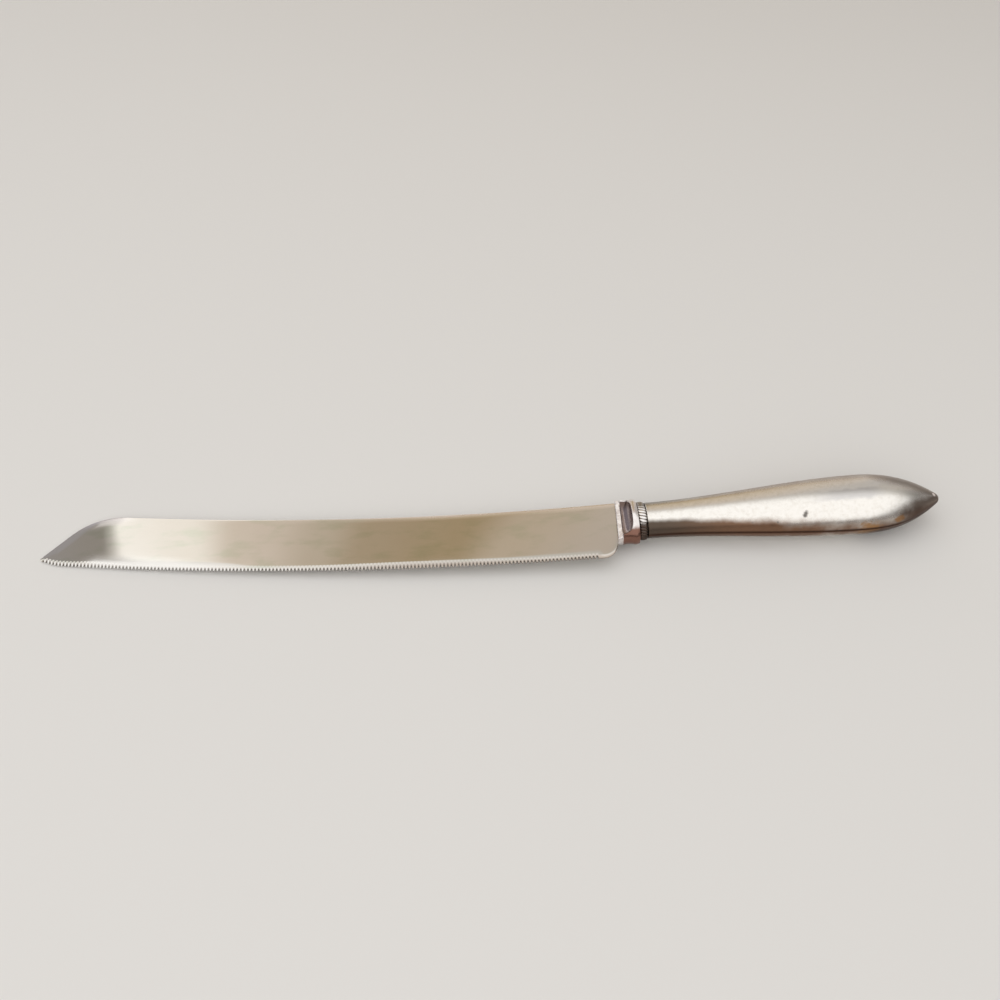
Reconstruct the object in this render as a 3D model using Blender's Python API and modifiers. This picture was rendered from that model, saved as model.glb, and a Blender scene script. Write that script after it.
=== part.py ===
"""Cake knife: a long saw-edged steel blade on a hollow plated handle, lying flat on a table.

Every piece is modelled on the knife's own axes, in metres. X runs along the handle's axis towards
the butt and is zero at the front of the bolster, so the blade lies on the -X side. Y points to the
blade's back and Z is square to its cheeks. An empty then lays the whole knife on the table.
"""

import math

import bmesh
import bpy
from mathutils import Vector

# Clearance kept between neighbouring pieces
GAP = 0.0003

# Blade: both long sides are arcs that sweep upwards to the tip
BACK_LOW_POINT = Vector((-0.0220, 0.0084))
BACK_RADIUS = 1.04
EDGE_LOW_POINT = Vector((-0.0068, -0.0148))
EDGE_RADIUS = 1.21
# From here to the tip the edge turns up in a tighter round
RISE_START_X = -0.1932
RISE_ROUND = 0.020
# The clip is the straight slant that cuts the blade off at the tip
CLIP_FOOT_X = -0.2035
CLIP_ANGLE = math.radians(46.2)
CLIP_SHOULDER_ROUND = 0.021
TIP_ROUND = 0.0010
HEEL_ROUND = 0.006
HEEL_X = -GAP
# The heel and the bolster's front stand square to the blade, which leans on the handle's axis
BLADE_LEAN = math.radians(3.5)
# Thicknesses fall from heel to tip, and the cheeks stay flat
HEEL_THICKNESS = 0.0013
TIP_THICKNESS = 0.0009
EDGE_THICKNESS = 0.0005
GRIND_HEIGHT = 0.0042
CLIP_BEVEL_HEIGHT = 0.0018
CLIP_BEVEL_THICKNESS = 0.0005
# Saw teeth along the edge
TOOTH_PITCH = 0.00125
TOOTH_DEPTH = 0.0009
TEETH_END_X = -0.0107
TOOTH_TIP_MARGIN = 0.00004
COMB_BACK = 0.003

# Tang: a flat tapered bar on the handle's axis
TANG_START_X = -0.005
TANG_END_X = 0.060
TANG_ROOT_WIDTH = 0.0090
TANG_END_WIDTH = 0.0056
TANG_THICKNESS = 0.0011

# Bolster: bar, hollowed cheeks and oval collar
BOLSTER_LENGTH = 0.0072
BOLSTER_WIDTH = 0.0176
BOLSTER_THICKNESS = 0.0121
BOLSTER_RIM = 0.0005
BAR_LENGTH = 0.0015
BAR_THICKNESS = 0.0044
CHEEK_THICKNESS = 0.0037
COLLAR_FRONT_X = 0.0048

# Milled ring between the bolster and the handle's mouth
RING_LENGTH = 0.0025
RING_WIDTH = 0.0148
RING_THICKNESS = 0.0112
RING_BORE_WIDTH = 0.0104

# Handle: oval hollow shells, pressed in two halves and soldered
MOUTH_X = BOLSTER_LENGTH + RING_LENGTH + 2 * GAP
BELLY_X = 0.0853
NECK_HALF_WIDTH = 0.0067
BELLY_HALF_WIDTH = 0.01135
# The butt is a pointed arch that would end at ARCH_END_X, rounded off by a ball from NOSE_START_X on
ARCH_END_X = 0.1159
ARCH_POWER = 2.3
NOSE_START_X = 0.1136
HANDLE_FLATNESS = 0.75
SHELL_WALL = 0.0007
SOLDER_THICKNESS = 0.0002
SEAM_OPENING = SOLDER_THICKNESS + 2 * GAP

# Setting compound inside the handle
CEMENT_END_X = 0.100
CEMENT_INSET = SHELL_WALL + 0.0005
CEMENT_NECK_WIDTH = 0.0094

# Facets
TURN_STEPS = 30
BODY_STATION_STEP = 0.008
BOLSTER_SEGMENTS = 48


def blade_arc_centre(low_point, radius):
    """Centre of one of the blade's side arcs, which open upwards from their low points."""
    return low_point + Vector((0, radius))


def circle_y(centre, radius, x, side):
    """Height of a circle at x, on its upper (side 1) or lower (side -1) half."""
    return centre.y + side * math.sqrt(max(radius ** 2 - (x - centre.x) ** 2, 0))


BACK_CENTRE = blade_arc_centre(BACK_LOW_POINT, BACK_RADIUS)
EDGE_CENTRE = blade_arc_centre(EDGE_LOW_POINT, EDGE_RADIUS)
RISE_START = Vector((RISE_START_X, circle_y(EDGE_CENTRE, EDGE_RADIUS, RISE_START_X, -1)))
RISE_CENTRE = RISE_START + (EDGE_CENTRE - RISE_START).normalized() * RISE_ROUND
CLIP_FOOT = Vector((CLIP_FOOT_X, circle_y(EDGE_CENTRE, EDGE_RADIUS, CLIP_FOOT_X, -1)))
CLIP_HEADING = Vector((math.cos(CLIP_ANGLE), math.sin(CLIP_ANGLE)))
CLIP_INWARDS = Vector((math.sin(CLIP_ANGLE), -math.cos(CLIP_ANGLE)))


def round_on_clip(radius, arc_centre, centre_distance):
    """Centre of a round that touches the clip's straight and one of the blade's arcs."""
    offset = CLIP_FOOT + CLIP_INWARDS * radius - arc_centre
    half_b = CLIP_HEADING.dot(offset)
    c = offset.length_squared - centre_distance ** 2
    root = math.sqrt(half_b ** 2 - c)
    along = min(-half_b - root, -half_b + root, key=abs)
    return CLIP_FOOT + CLIP_INWARDS * radius + CLIP_HEADING * along


TIP_CENTRE = round_on_clip(TIP_ROUND, RISE_CENTRE, RISE_ROUND - TIP_ROUND)
SHOULDER_CENTRE = round_on_clip(CLIP_SHOULDER_ROUND, BACK_CENTRE, BACK_RADIUS + CLIP_SHOULDER_ROUND)
HEEL_CENTRE_X = HEEL_X - HEEL_ROUND
HEEL_CENTRE = Vector((HEEL_CENTRE_X, circle_y(EDGE_CENTRE, EDGE_RADIUS - HEEL_ROUND, HEEL_CENTRE_X, -1)))
TIP_X = TIP_CENTRE.x - TIP_ROUND

# Where the straight and the arcs of the outline meet
TIP_TO_RISE_X = (TIP_CENTRE + (TIP_CENTRE - RISE_CENTRE).normalized() * TIP_ROUND).x
TIP_TO_CLIP_X = (TIP_CENTRE - CLIP_INWARDS * TIP_ROUND).x
CLIP_TO_SHOULDER_X = (SHOULDER_CENTRE - CLIP_INWARDS * CLIP_SHOULDER_ROUND).x
SHOULDER_TO_BACK = SHOULDER_CENTRE + (BACK_CENTRE - SHOULDER_CENTRE).normalized() * CLIP_SHOULDER_ROUND
SHOULDER_TO_BACK_X = SHOULDER_TO_BACK.x
EDGE_TO_HEEL_X = (HEEL_CENTRE + (HEEL_CENTRE - EDGE_CENTRE).normalized() * HEEL_ROUND).x


def edge_y(x):
    """Lower outline of the blade: tip round, rise, edge arc and heel round."""
    if x < TIP_TO_RISE_X:
        return circle_y(TIP_CENTRE, TIP_ROUND, x, -1)
    if x < RISE_START_X:
        return circle_y(RISE_CENTRE, RISE_ROUND, x, -1)
    if x > EDGE_TO_HEEL_X:
        return circle_y(HEEL_CENTRE, HEEL_ROUND, x, -1)
    return circle_y(EDGE_CENTRE, EDGE_RADIUS, x, -1)


def back_y(x):
    """Upper outline of the blade: tip round, clip, shoulder and back arc."""
    if x < TIP_TO_CLIP_X:
        return circle_y(TIP_CENTRE, TIP_ROUND, x, 1)
    if x < CLIP_TO_SHOULDER_X:
        return CLIP_FOOT.y + (x - CLIP_FOOT.x) * math.tan(CLIP_ANGLE)
    if x < SHOULDER_TO_BACK_X:
        return circle_y(SHOULDER_CENTRE, CLIP_SHOULDER_ROUND, x, 1)
    return circle_y(BACK_CENTRE, BACK_RADIUS, x, -1)


def between(first, last, count):
    """Evenly spaced values from first to last, both included."""
    return [first + (last - first) * i / (count - 1) for i in range(count)]


def cheek_half(x):
    """Half the blade's thickness on its flat cheeks."""
    share = (x - TIP_X) / (HEEL_X - TIP_X)
    return (TIP_THICKNESS + (HEEL_THICKNESS - TIP_THICKNESS) * share) / 2


def blade_stations():
    """Places along X where the blade's section is drawn, close together only on the rounds."""
    tip = [TIP_CENTRE.x - TIP_ROUND * math.cos(math.radians(angle)) for angle in (25, 50, 75)]
    shoulder = between(CLIP_TO_SHOULDER_X, SHOULDER_TO_BACK_X, 7)
    clip = between(TIP_CENTRE.x + TIP_ROUND, CLIP_TO_SHOULDER_X, 6)[:-1]
    body_count = round((EDGE_TO_HEEL_X - SHOULDER_TO_BACK_X) / BODY_STATION_STEP)
    body = between(SHOULDER_TO_BACK_X, EDGE_TO_HEEL_X, body_count)[1:]
    heel_angles = between(0, math.pi / 2, 7)[1:]
    heel = [HEEL_CENTRE.x + HEEL_ROUND * math.sin(angle) for angle in heel_angles]
    return tip + clip + shoulder + body + heel


def blade_section(x):
    """Eight corners of the blade's section at x: edge grind below, flat cheeks, clip bevel above."""
    low = edge_y(x)
    high = back_y(x)
    width = high - low
    half = cheek_half(x)
    grind = min(GRIND_HEIGHT, 0.4 * width)
    top = half * 0.85
    bevel = half * 0.3
    if x < SHOULDER_TO_BACK_X:
        top = CLIP_BEVEL_THICKNESS / 2
        bevel = min(CLIP_BEVEL_HEIGHT, 0.35 * width)
    upper_side = [(low, EDGE_THICKNESS / 2), (low + grind, half), (high - bevel, half), (high, top)]
    lower_side = [(y, -z) for y, z in reversed(upper_side)]
    heel_share = max(x - EDGE_TO_HEEL_X, 0) / (HEEL_X - EDGE_TO_HEEL_X)
    lean = math.tan(BLADE_LEAN) * heel_share
    return [Vector((x + y * lean, y, z)) for y, z in upper_side + lower_side]


ARCH_LENGTH = ARCH_END_X - BELLY_X


def arch_width(x):
    """Half the handle's width on the pointed arch of the butt."""
    return BELLY_HALF_WIDTH * (1 - ((x - BELLY_X) / ARCH_LENGTH) ** ARCH_POWER)


def arch_slope(x):
    """How fast the arch's half width changes along X."""
    return -BELLY_HALF_WIDTH * ARCH_POWER / ARCH_LENGTH * ((x - BELLY_X) / ARCH_LENGTH) ** (ARCH_POWER - 1)


# The ball at the very end touches the arch without a corner
NOSE_CENTRE_X = NOSE_START_X + arch_width(NOSE_START_X) * arch_slope(NOSE_START_X)
NOSE_RADIUS = arch_width(NOSE_START_X) * math.hypot(1, arch_slope(NOSE_START_X))
NOSE_X = NOSE_CENTRE_X + NOSE_RADIUS


def half_width(x):
    """Half the handle's width: a neck that swells to the belly, then the arch and its rounded nose."""
    if x <= BELLY_X:
        share = (x - MOUTH_X) / (BELLY_X - MOUTH_X)
        return NECK_HALF_WIDTH + (BELLY_HALF_WIDTH - NECK_HALF_WIDTH) * share ** 2 * (3 - 2 * share)
    if x < NOSE_START_X:
        return arch_width(x)
    return math.sqrt(max(NOSE_RADIUS ** 2 - (x - NOSE_CENTRE_X) ** 2, 0))


def handle_profile():
    """Points of the handle's outline from the mouth to the very end of the nose."""
    neck = between(MOUTH_X, BELLY_X, 10)
    arch = [BELLY_X + (NOSE_START_X - BELLY_X) * math.sin(angle) for angle in between(0, math.pi / 2, 10)[1:]]
    first_angle = math.asin((NOSE_START_X - NOSE_CENTRE_X) / NOSE_RADIUS)
    nose = [NOSE_CENTRE_X + NOSE_RADIUS * math.sin(angle) for angle in between(first_angle, math.pi / 2, 5)[1:]]
    return [(x, half_width(x)) for x in neck + arch + nose]


def named_material(name, colour, roughness, metallic):
    """A plain finish with one colour."""
    material = bpy.data.materials.new(name)
    material.use_nodes = True
    shader = material.node_tree.nodes["Principled BSDF"]
    shader.inputs["Base Color"].default_value = (*colour, 1)
    shader.inputs["Roughness"].default_value = roughness
    shader.inputs["Metallic"].default_value = metallic
    return material


def clear_scene():
    """Start from an empty scene."""
    for obj in list(bpy.data.objects):
        bpy.data.objects.remove(obj)


def new_collection(name):
    """A collection linked to the scene."""
    collection = bpy.data.collections.new(name)
    bpy.context.scene.collection.children.link(collection)
    return collection


def finished_mesh(obj):
    """The object's shape with its modifiers and curve settings worked in, welded and facing out."""
    bpy.context.view_layer.update()
    depsgraph = bpy.context.evaluated_depsgraph_get()
    mesh = bpy.data.meshes.new_from_object(obj.evaluated_get(depsgraph))
    bpy.data.objects.remove(obj)
    bm = bmesh.new()
    bm.from_mesh(mesh)
    bmesh.ops.remove_doubles(bm, verts=bm.verts, dist=1e-6)
    bmesh.ops.recalc_face_normals(bm, faces=bm.faces)
    bm.to_mesh(mesh)
    bm.free()
    return mesh


def flat_prism(points, half_depth):
    """A closed flat outline in the XY plane, given a thickness of twice half_depth."""
    curve = bpy.data.curves.new("outline", "CURVE")
    curve.dimensions = "2D"
    curve.fill_mode = "BOTH"
    curve.extrude = half_depth
    spline = curve.splines.new("POLY")
    spline.points.add(len(points) - 1)
    for place, (x, y) in zip(spline.points, points):
        place.co = (x, y, 0, 1)
    spline.use_cyclic_u = True
    obj = bpy.data.objects.new("outline", curve)
    bpy.context.scene.collection.objects.link(obj)
    return finished_mesh(obj)


def turned_oval(profile, flatness, angle=2 * math.pi, closed=False):
    """A profile of (x, radius) turned about the X axis, then flattened along Z."""
    mesh = bpy.data.meshes.new("profile")
    count = len(profile)
    edges = [(i, i + 1) for i in range(count - 1)]
    if closed:
        edges.append((count - 1, 0))
    mesh.from_pydata([(x, radius, 0) for x, radius in profile], edges, [])
    obj = bpy.data.objects.new("profile", mesh)
    bpy.context.scene.collection.objects.link(obj)
    screw = obj.modifiers.new("turn", "SCREW")
    screw.axis = "X"
    screw.angle = angle
    screw.steps = round(TURN_STEPS * angle / (2 * math.pi))
    screw.render_steps = screw.steps
    screw.use_merge_vertices = True
    screw.merge_threshold = 1e-6
    turned = finished_mesh(obj)
    for vertex in turned.vertices:
        vertex.co.z *= flatness
    return turned


def place(name, mesh, collection, rest, material=None):
    """Put a mesh in the scene under its name, carried by the empty."""
    mesh.name = name
    obj = bpy.data.objects.new(name, mesh)
    collection.objects.link(obj)
    obj.parent = rest
    if material:
        mesh.materials.clear()
        mesh.materials.append(material)
    else:
        obj.hide_render = True
        obj.display_type = "WIRE"
    return obj


def shade_round(obj, sharp_degrees=35):
    """Smooth shading, with sharp edges kept."""
    obj.data.shade_smooth()
    obj.data.set_sharp_from_angle(angle=math.radians(sharp_degrees))


def apply_boolean(obj, operation, tool):
    """Cut an object with a tool or join a tool to it."""
    boolean = obj.modifiers.new(operation.lower(), "BOOLEAN")
    boolean.operation = operation
    boolean.solver = "EXACT"
    boolean.object = tool


def tang_prism(clearance):
    """The tang, or with a clearance the room that it needs."""
    half_root = TANG_ROOT_WIDTH / 2 + clearance
    half_end = TANG_END_WIDTH / 2 + clearance
    end_x = TANG_END_X + clearance
    tail = [(end_x - half_end * (1 - math.cos(angle)), half_end * math.sin(angle))
            for angle in between(-math.pi / 2, math.pi / 2, 7)]
    points = [(TANG_START_X, half_root), (TANG_START_X, -half_root)] + tail
    return flat_prism(points, TANG_THICKNESS / 2 + clearance)


def blade_blank():
    """The blade without teeth or tang: eight-cornered sections joined from tip to heel."""
    bm = bmesh.new()
    rings = [[bm.verts.new(corner) for corner in blade_section(x)] for x in blade_stations()]
    for ring, following in zip(rings, rings[1:]):
        for i in range(len(ring)):
            j = (i + 1) % len(ring)
            bm.faces.new((ring[i], ring[j], following[j], following[i]))
    bm.faces.new(rings[0])
    bm.faces.new(rings[-1])
    bmesh.ops.recalc_face_normals(bm, faces=bm.faces)
    mesh = bpy.data.meshes.new("blank")
    bm.to_mesh(mesh)
    bm.free()
    return mesh


def tooth_comb():
    """A zigzag strip along the edge, which cuts the gullets between the teeth."""
    teeth = round((TEETH_END_X - TIP_TO_RISE_X) / TOOTH_PITCH)
    points = []
    for i, x in enumerate(between(TIP_TO_RISE_X, TEETH_END_X, 2 * teeth + 1)):
        if i % 2:
            points.append((x, edge_y(x) + TOOTH_DEPTH))
        else:
            points.append((x, edge_y(x) - TOOTH_TIP_MARGIN))
    for x in between(TEETH_END_X, TIP_TO_RISE_X, 48):
        points.append((x, edge_y(x) - COMB_BACK))
    return flat_prism(points, HEEL_THICKNESS)


def add_blade(parts, cutters, rest, steel):
    """Saw-edged blade with its tang."""
    blade = place("blade", blade_blank(), parts, rest, steel)
    comb = place("tooth_comb", tooth_comb(), cutters, rest)
    tang = place("tang_blank", tang_prism(0), cutters, rest)
    apply_boolean(blade, "DIFFERENCE", comb)
    apply_boolean(blade, "UNION", tang)
    return blade


def add_bolster(parts, cutters, rest, steel, tang_room):
    """Oval block with its cheeks hollowed behind a straight bar."""
    bm = bmesh.new()
    bmesh.ops.create_cone(bm, cap_ends=True, segments=BOLSTER_SEGMENTS, radius1=1, radius2=1,
                          depth=BOLSTER_LENGTH)
    for vertex in bm.verts:
        along, across, up = vertex.co.z, vertex.co.y, vertex.co.x
        vertex.co = (along + BOLSTER_LENGTH / 2, across * BOLSTER_WIDTH / 2, up * BOLSTER_THICKNESS / 2)
    bmesh.ops.recalc_face_normals(bm, faces=bm.faces)
    rear_rim = [e for e in bm.edges if all(v.co.x > BOLSTER_LENGTH / 2 for v in e.verts)]
    bmesh.ops.bevel(bm, geom=rear_rim, offset=BOLSTER_RIM, segments=2, profile=0.5, affect="EDGES")
    mesh = bpy.data.meshes.new("oval_block")
    bm.to_mesh(mesh)
    bm.free()
    block = place("oval_block", mesh, cutters, rest)
    for side in (1, -1):
        hollow = place(f"cheek_hollow_{side}", flat_prism(hollow_outline(), BOLSTER_WIDTH), cutters, rest)
        hollow.rotation_euler.x = side * math.pi / 2
        apply_boolean(block, "DIFFERENCE", hollow)
    apply_boolean(block, "DIFFERENCE", tang_room)
    shaped = finished_mesh(block)
    lean_front(shaped)
    shade_round(place("bolster", shaped, parts, rest, steel))


def lean_front(mesh):
    """Turn the bolster's front square to the blade, while its rear stays square to the handle."""
    for vertex in mesh.vertices:
        front_share = 1 - vertex.co.x / BOLSTER_LENGTH
        vertex.co.x += vertex.co.y * math.tan(BLADE_LEAN) * front_share


def hollow_outline():
    """Side view of the steel taken off one cheek: level over the bar, then a scoop up to the collar."""
    top = BOLSTER_THICKNESS
    floor = CHEEK_THICKNESS / 2
    scoop_radius = COLLAR_FRONT_X - BAR_LENGTH
    scoop = [(BAR_LENGTH + scoop_radius * math.sin(angle), floor + scoop_radius * (1 - math.cos(angle)))
             for angle in between(0, math.pi / 2, 9)]
    bar = [(-BAR_LENGTH, top), (-BAR_LENGTH, BAR_THICKNESS / 2), (BAR_LENGTH, BAR_THICKNESS / 2)]
    return bar + scoop + [(COLLAR_FRONT_X, top)]


def add_neck_ring(parts, rest, plate):
    """Half-round oval ring in front of the handle's mouth."""
    start = BOLSTER_LENGTH + GAP
    bore = RING_BORE_WIDTH / 2
    crown = RING_WIDTH / 2
    shoulder = crown - RING_LENGTH / 3
    crest = [(start + RING_LENGTH * (1 + math.cos(angle)) / 2, shoulder + (crown - shoulder) * math.sin(angle))
             for angle in between(0, math.pi, 7)]
    profile = crest + [(start, bore), (start + RING_LENGTH, bore)]
    ring = turned_oval(profile, RING_THICKNESS / RING_WIDTH, closed=True)
    shade_round(place("neck_ring", ring, parts, rest, plate))


def add_handle_shells(parts, rest, plate):
    """Two pressed half shells that face each other across the seam."""
    for name, side in (("handle_shell_upper", 1), ("handle_shell_lower", -1)):
        half = turned_oval(handle_profile(), HANDLE_FLATNESS, angle=math.pi)
        up = 1 if sum(vertex.co.z for vertex in half.vertices) > 0 else -1
        for vertex in half.vertices:
            vertex.co.z = vertex.co.z * up * side + side * SEAM_OPENING / 2
        if up * side < 0:
            half.flip_normals()
        shell = place(name, half, parts, rest, plate)
        wall = shell.modifiers.new("wall", "SOLIDIFY")
        wall.thickness = SHELL_WALL
        wall.offset = -1
        shade_round(shell)


def add_seam_solder(parts, rest, solder):
    """Thin ribbon of solder between the rims of the two shells, round the butt from mouth to mouth."""
    outer = [(x, width) for x, width in handle_profile() if width > SHELL_WALL]
    inner = [(x - SHELL_WALL, width - SHELL_WALL) for x, width in outer if x > MOUTH_X]
    inner = [(MOUTH_X, NECK_HALF_WIDTH - SHELL_WALL)] + [p for p in inner if p[1] > SHELL_WALL]
    far_side = [(x, -width) for x, width in reversed(outer)]
    far_inner = [(x, -width) for x, width in inner]
    points = outer + far_side + far_inner + list(reversed(inner))
    place("seam_solder", flat_prism(points, SOLDER_THICKNESS / 2), parts, rest, solder)


def add_cement(parts, rest, cement, tang_room):
    """Setting compound from the back of the bolster to the end of the fill, with room for the tang."""
    start = BOLSTER_LENGTH + GAP
    neck = CEMENT_NECK_WIDTH / 2
    inside = [(x, half_width(x) - CEMENT_INSET) for x in between(MOUTH_X + GAP, CEMENT_END_X, 14)]
    profile = [(start, 0), (start, neck), (MOUTH_X + GAP, neck)] + inside + [(CEMENT_END_X, 0)]
    fill = place("handle_cement", turned_oval(profile, HANDLE_FLATNESS), parts, rest, cement)
    apply_boolean(fill, "DIFFERENCE", tang_room)
    shade_round(fill)


def rest_tilt():
    """Angle between the handle's axis and the table when tip and belly both touch it."""
    tip_half = cheek_half(TIP_X)
    slopes = [(half_width(x) * HANDLE_FLATNESS + SEAM_OPENING / 2 - tip_half) / (x - TIP_X)
              for x in between(MOUTH_X, NOSE_X, 200)]
    return math.atan(max(slopes))


def lay_on_table(rest, parts):
    """Tilt the knife onto the table and set the middle of its footprint over the origin."""
    rest.rotation_euler.y = -rest_tilt()
    bpy.context.view_layer.update()
    depsgraph = bpy.context.evaluated_depsgraph_get()
    places = [obj.matrix_world @ vertex.co
              for obj in parts.objects for vertex in obj.evaluated_get(depsgraph).data.vertices]
    lows = [min(p[axis] for p in places) for axis in range(3)]
    highs = [max(p[axis] for p in places) for axis in range(3)]
    rest.location = (-(lows[0] + highs[0]) / 2, -(lows[1] + highs[1]) / 2, -lows[2])


def main():
    clear_scene()
    parts = new_collection("cake_knife")
    cutters = new_collection("cutters")
    rest = bpy.data.objects.new("knife_rest", None)
    bpy.context.scene.collection.objects.link(rest)

    blade_steel = named_material("blade_steel", (0.66, 0.64, 0.60), 0.22, 1.0)
    bolster_steel = named_material("bolster_steel", (0.58, 0.56, 0.56), 0.18, 1.0)
    silver_plate = named_material("silver_plate", (0.68, 0.64, 0.58), 0.20, 1.0)
    solder = named_material("solder", (0.62, 0.60, 0.57), 0.35, 1.0)
    cement = named_material("cement", (0.36, 0.31, 0.25), 0.90, 0.0)

    tang_room = place("tang_room", tang_prism(GAP), cutters, rest)
    add_blade(parts, cutters, rest, blade_steel)
    add_bolster(parts, cutters, rest, bolster_steel, tang_room)
    add_neck_ring(parts, rest, silver_plate)
    add_handle_shells(parts, rest, silver_plate)
    add_seam_solder(parts, rest, solder)
    add_cement(parts, rest, cement, tang_room)
    lay_on_table(rest, parts)


main()
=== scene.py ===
# %% [markdown]
# # A cake knife, dressed piece by piece
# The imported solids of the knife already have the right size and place. In this lesson each solid gets
# the surface that the real piece has: a saw-edged steel blade, a waisted bolster, a twisted ring, and a
# hollow silver-plated handle made of two soldered halves. Every piece is modelled on the knife's own
# axes, where its shape is easy to write down, and is then laid exactly over its solid.

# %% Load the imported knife
import math

import bmesh
import bpy
from mathutils import Matrix, Vector, noise


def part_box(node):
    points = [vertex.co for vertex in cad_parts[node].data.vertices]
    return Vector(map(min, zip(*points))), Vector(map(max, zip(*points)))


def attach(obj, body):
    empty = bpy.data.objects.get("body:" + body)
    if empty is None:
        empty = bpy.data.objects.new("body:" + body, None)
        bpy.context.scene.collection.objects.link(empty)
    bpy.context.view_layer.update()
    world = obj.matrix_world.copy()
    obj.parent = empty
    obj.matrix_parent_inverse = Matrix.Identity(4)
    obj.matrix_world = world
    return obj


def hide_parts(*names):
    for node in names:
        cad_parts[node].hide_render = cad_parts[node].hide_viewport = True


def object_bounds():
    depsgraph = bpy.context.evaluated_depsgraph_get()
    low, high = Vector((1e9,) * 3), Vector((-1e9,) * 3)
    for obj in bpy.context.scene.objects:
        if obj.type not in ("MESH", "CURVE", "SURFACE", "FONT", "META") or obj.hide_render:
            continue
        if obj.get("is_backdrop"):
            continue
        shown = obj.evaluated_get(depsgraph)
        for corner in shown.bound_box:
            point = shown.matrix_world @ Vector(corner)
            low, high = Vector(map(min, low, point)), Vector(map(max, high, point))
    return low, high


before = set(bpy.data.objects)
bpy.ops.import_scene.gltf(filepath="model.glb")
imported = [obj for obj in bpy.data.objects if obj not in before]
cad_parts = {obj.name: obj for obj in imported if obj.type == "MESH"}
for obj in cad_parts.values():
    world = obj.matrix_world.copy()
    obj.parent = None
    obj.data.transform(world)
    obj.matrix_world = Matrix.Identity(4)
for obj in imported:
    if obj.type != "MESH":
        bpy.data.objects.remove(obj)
cad_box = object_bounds()
print("packed pieces:", ", ".join(sorted(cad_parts)))

# %% [markdown]
# ## The knife's own axes
# On a table the knife rests on the tip of its blade and the belly of its handle, so its long axis slopes
# a little. Sloping shapes are hard to draw, so the pieces are drawn level first: X along the axis with
# its zero at the front of the bolster, Y towards the blade's back and Z square to the blade. The seam of
# the handle lies on that axis from end to end, so the slope and the zero point are read from its solid.

# %% Find the slope and the zero point
SOLDER_THICKNESS = 0.0002
MOUTH_X = 0.0103

seam_low, seam_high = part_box("seam_solder")
slope = math.atan2(seam_high.z - seam_low.z - SOLDER_THICKNESS, seam_high.x - seam_low.x)
mouth_middle = Vector((seam_low.x, (seam_low.y + seam_high.y) / 2, seam_low.z + SOLDER_THICKNESS / 2))
lean = Matrix.Rotation(-slope, 4, "Y")
zero_point = mouth_middle - lean @ Vector((MOUTH_X, 0, 0))
lay_on_table = Matrix.Translation(zero_point) @ lean
print(f"the knife slopes {math.degrees(slope):.2f} degrees")
print("zero point:", tuple(round(c, 4) for c in zero_point))

# %% [markdown]
# ## The viewpoint
# A camera looks down at the knife from the front, about half way between level and straight down. It is
# placed by where it looks, how far away it stands and from which side, because those are the things a
# photographer decides. Its lens is a little shorter than a normal one, like that of a small camera held
# close to the knife.

# %% Set up the camera
VIEW_CENTRE = Vector((zero_point.x - 0.0395, zero_point.y + 0.0189, 0))
VIEW_DISTANCE = 0.3917
VIEW_SIDE = math.radians(-4.28)
VIEW_HEIGHT = math.radians(50)
LENS_MM = 38.6

towards_camera = Vector((
    math.sin(VIEW_SIDE) * math.cos(VIEW_HEIGHT),
    -math.cos(VIEW_SIDE) * math.cos(VIEW_HEIGHT),
    math.sin(VIEW_HEIGHT),
))
camera = bpy.data.objects.new("camera", bpy.data.cameras.new("camera"))
camera.data.lens = LENS_MM
camera.location = VIEW_CENTRE + towards_camera * VIEW_DISTANCE
camera.rotation_euler = towards_camera.to_track_quat("Z", "Y").to_euler()
bpy.context.scene.collection.objects.link(camera)
bpy.context.scene.camera = camera
print("camera at", tuple(round(c, 3) for c in camera.location))

# %% [markdown]
# ## Helpers for every piece
# Each piece ends the same way: its mesh is laid on the table, shaded smooth with its real corners kept
# sharp and hung under a common empty, and the solid that it stands for is hidden. One function does that,
# so no piece can forget a step.

# %% Write the helpers
def between(first, last, count):
    """Evenly spaced values from first to last, both included."""
    return [first + (last - first) * i / (count - 1) for i in range(count)]


def ease(share):
    """A share from 0 to 1 that starts and ends gently."""
    share = min(max(share, 0), 1)
    return share * share * (3 - 2 * share)


def new_object(bm, name, finish):
    """Turn a drawn mesh into an object with a finish."""
    mesh = bpy.data.meshes.new(name)
    bm.to_mesh(mesh)
    bm.free()
    mesh.materials.append(finish)
    made = bpy.data.objects.new(name, mesh)
    bpy.context.scene.collection.objects.link(made)
    return made


def finish_piece(bm, name, node, finish, corner_degrees=35):
    """Lay a drawn piece on the table, give it its finish and let it stand for its solid."""
    bmesh.ops.transform(bm, matrix=lay_on_table, verts=bm.verts)
    piece = new_object(bm, name, finish)
    piece.data.shade_smooth()
    piece.data.set_sharp_from_angle(angle=math.radians(corner_degrees))
    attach(piece, "root")
    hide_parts(node)
    print(f"{name}: {len(piece.data.polygons)} faces, stands for {node}")
    return piece


def add_node(finish, kind, inputs, **settings):
    """Add a shader node. Each input is a plain value or another node's output."""
    node = finish.node_tree.nodes.new(kind)
    for setting, value in settings.items():
        setattr(node, setting, value)
    for socket, value in inputs.items():
        if isinstance(value, bpy.types.NodeSocket):
            finish.node_tree.links.new(value, node.inputs[socket])
        else:
            node.inputs[socket].default_value = value
    return node


print("helpers are ready")

# %% [markdown]
# ## Building blocks for finishes
# Old metal is never one colour. Its finish is a stack of simple patterns, each at its own real scale:
# clouds of film, fine polishing lines, specks and worn places. The small functions here each add one
# such pattern. All of them read positions on the knife's own axes in metres, so a pattern with 300 cells
# to the metre has cells of about 3 mm on every piece.

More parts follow.
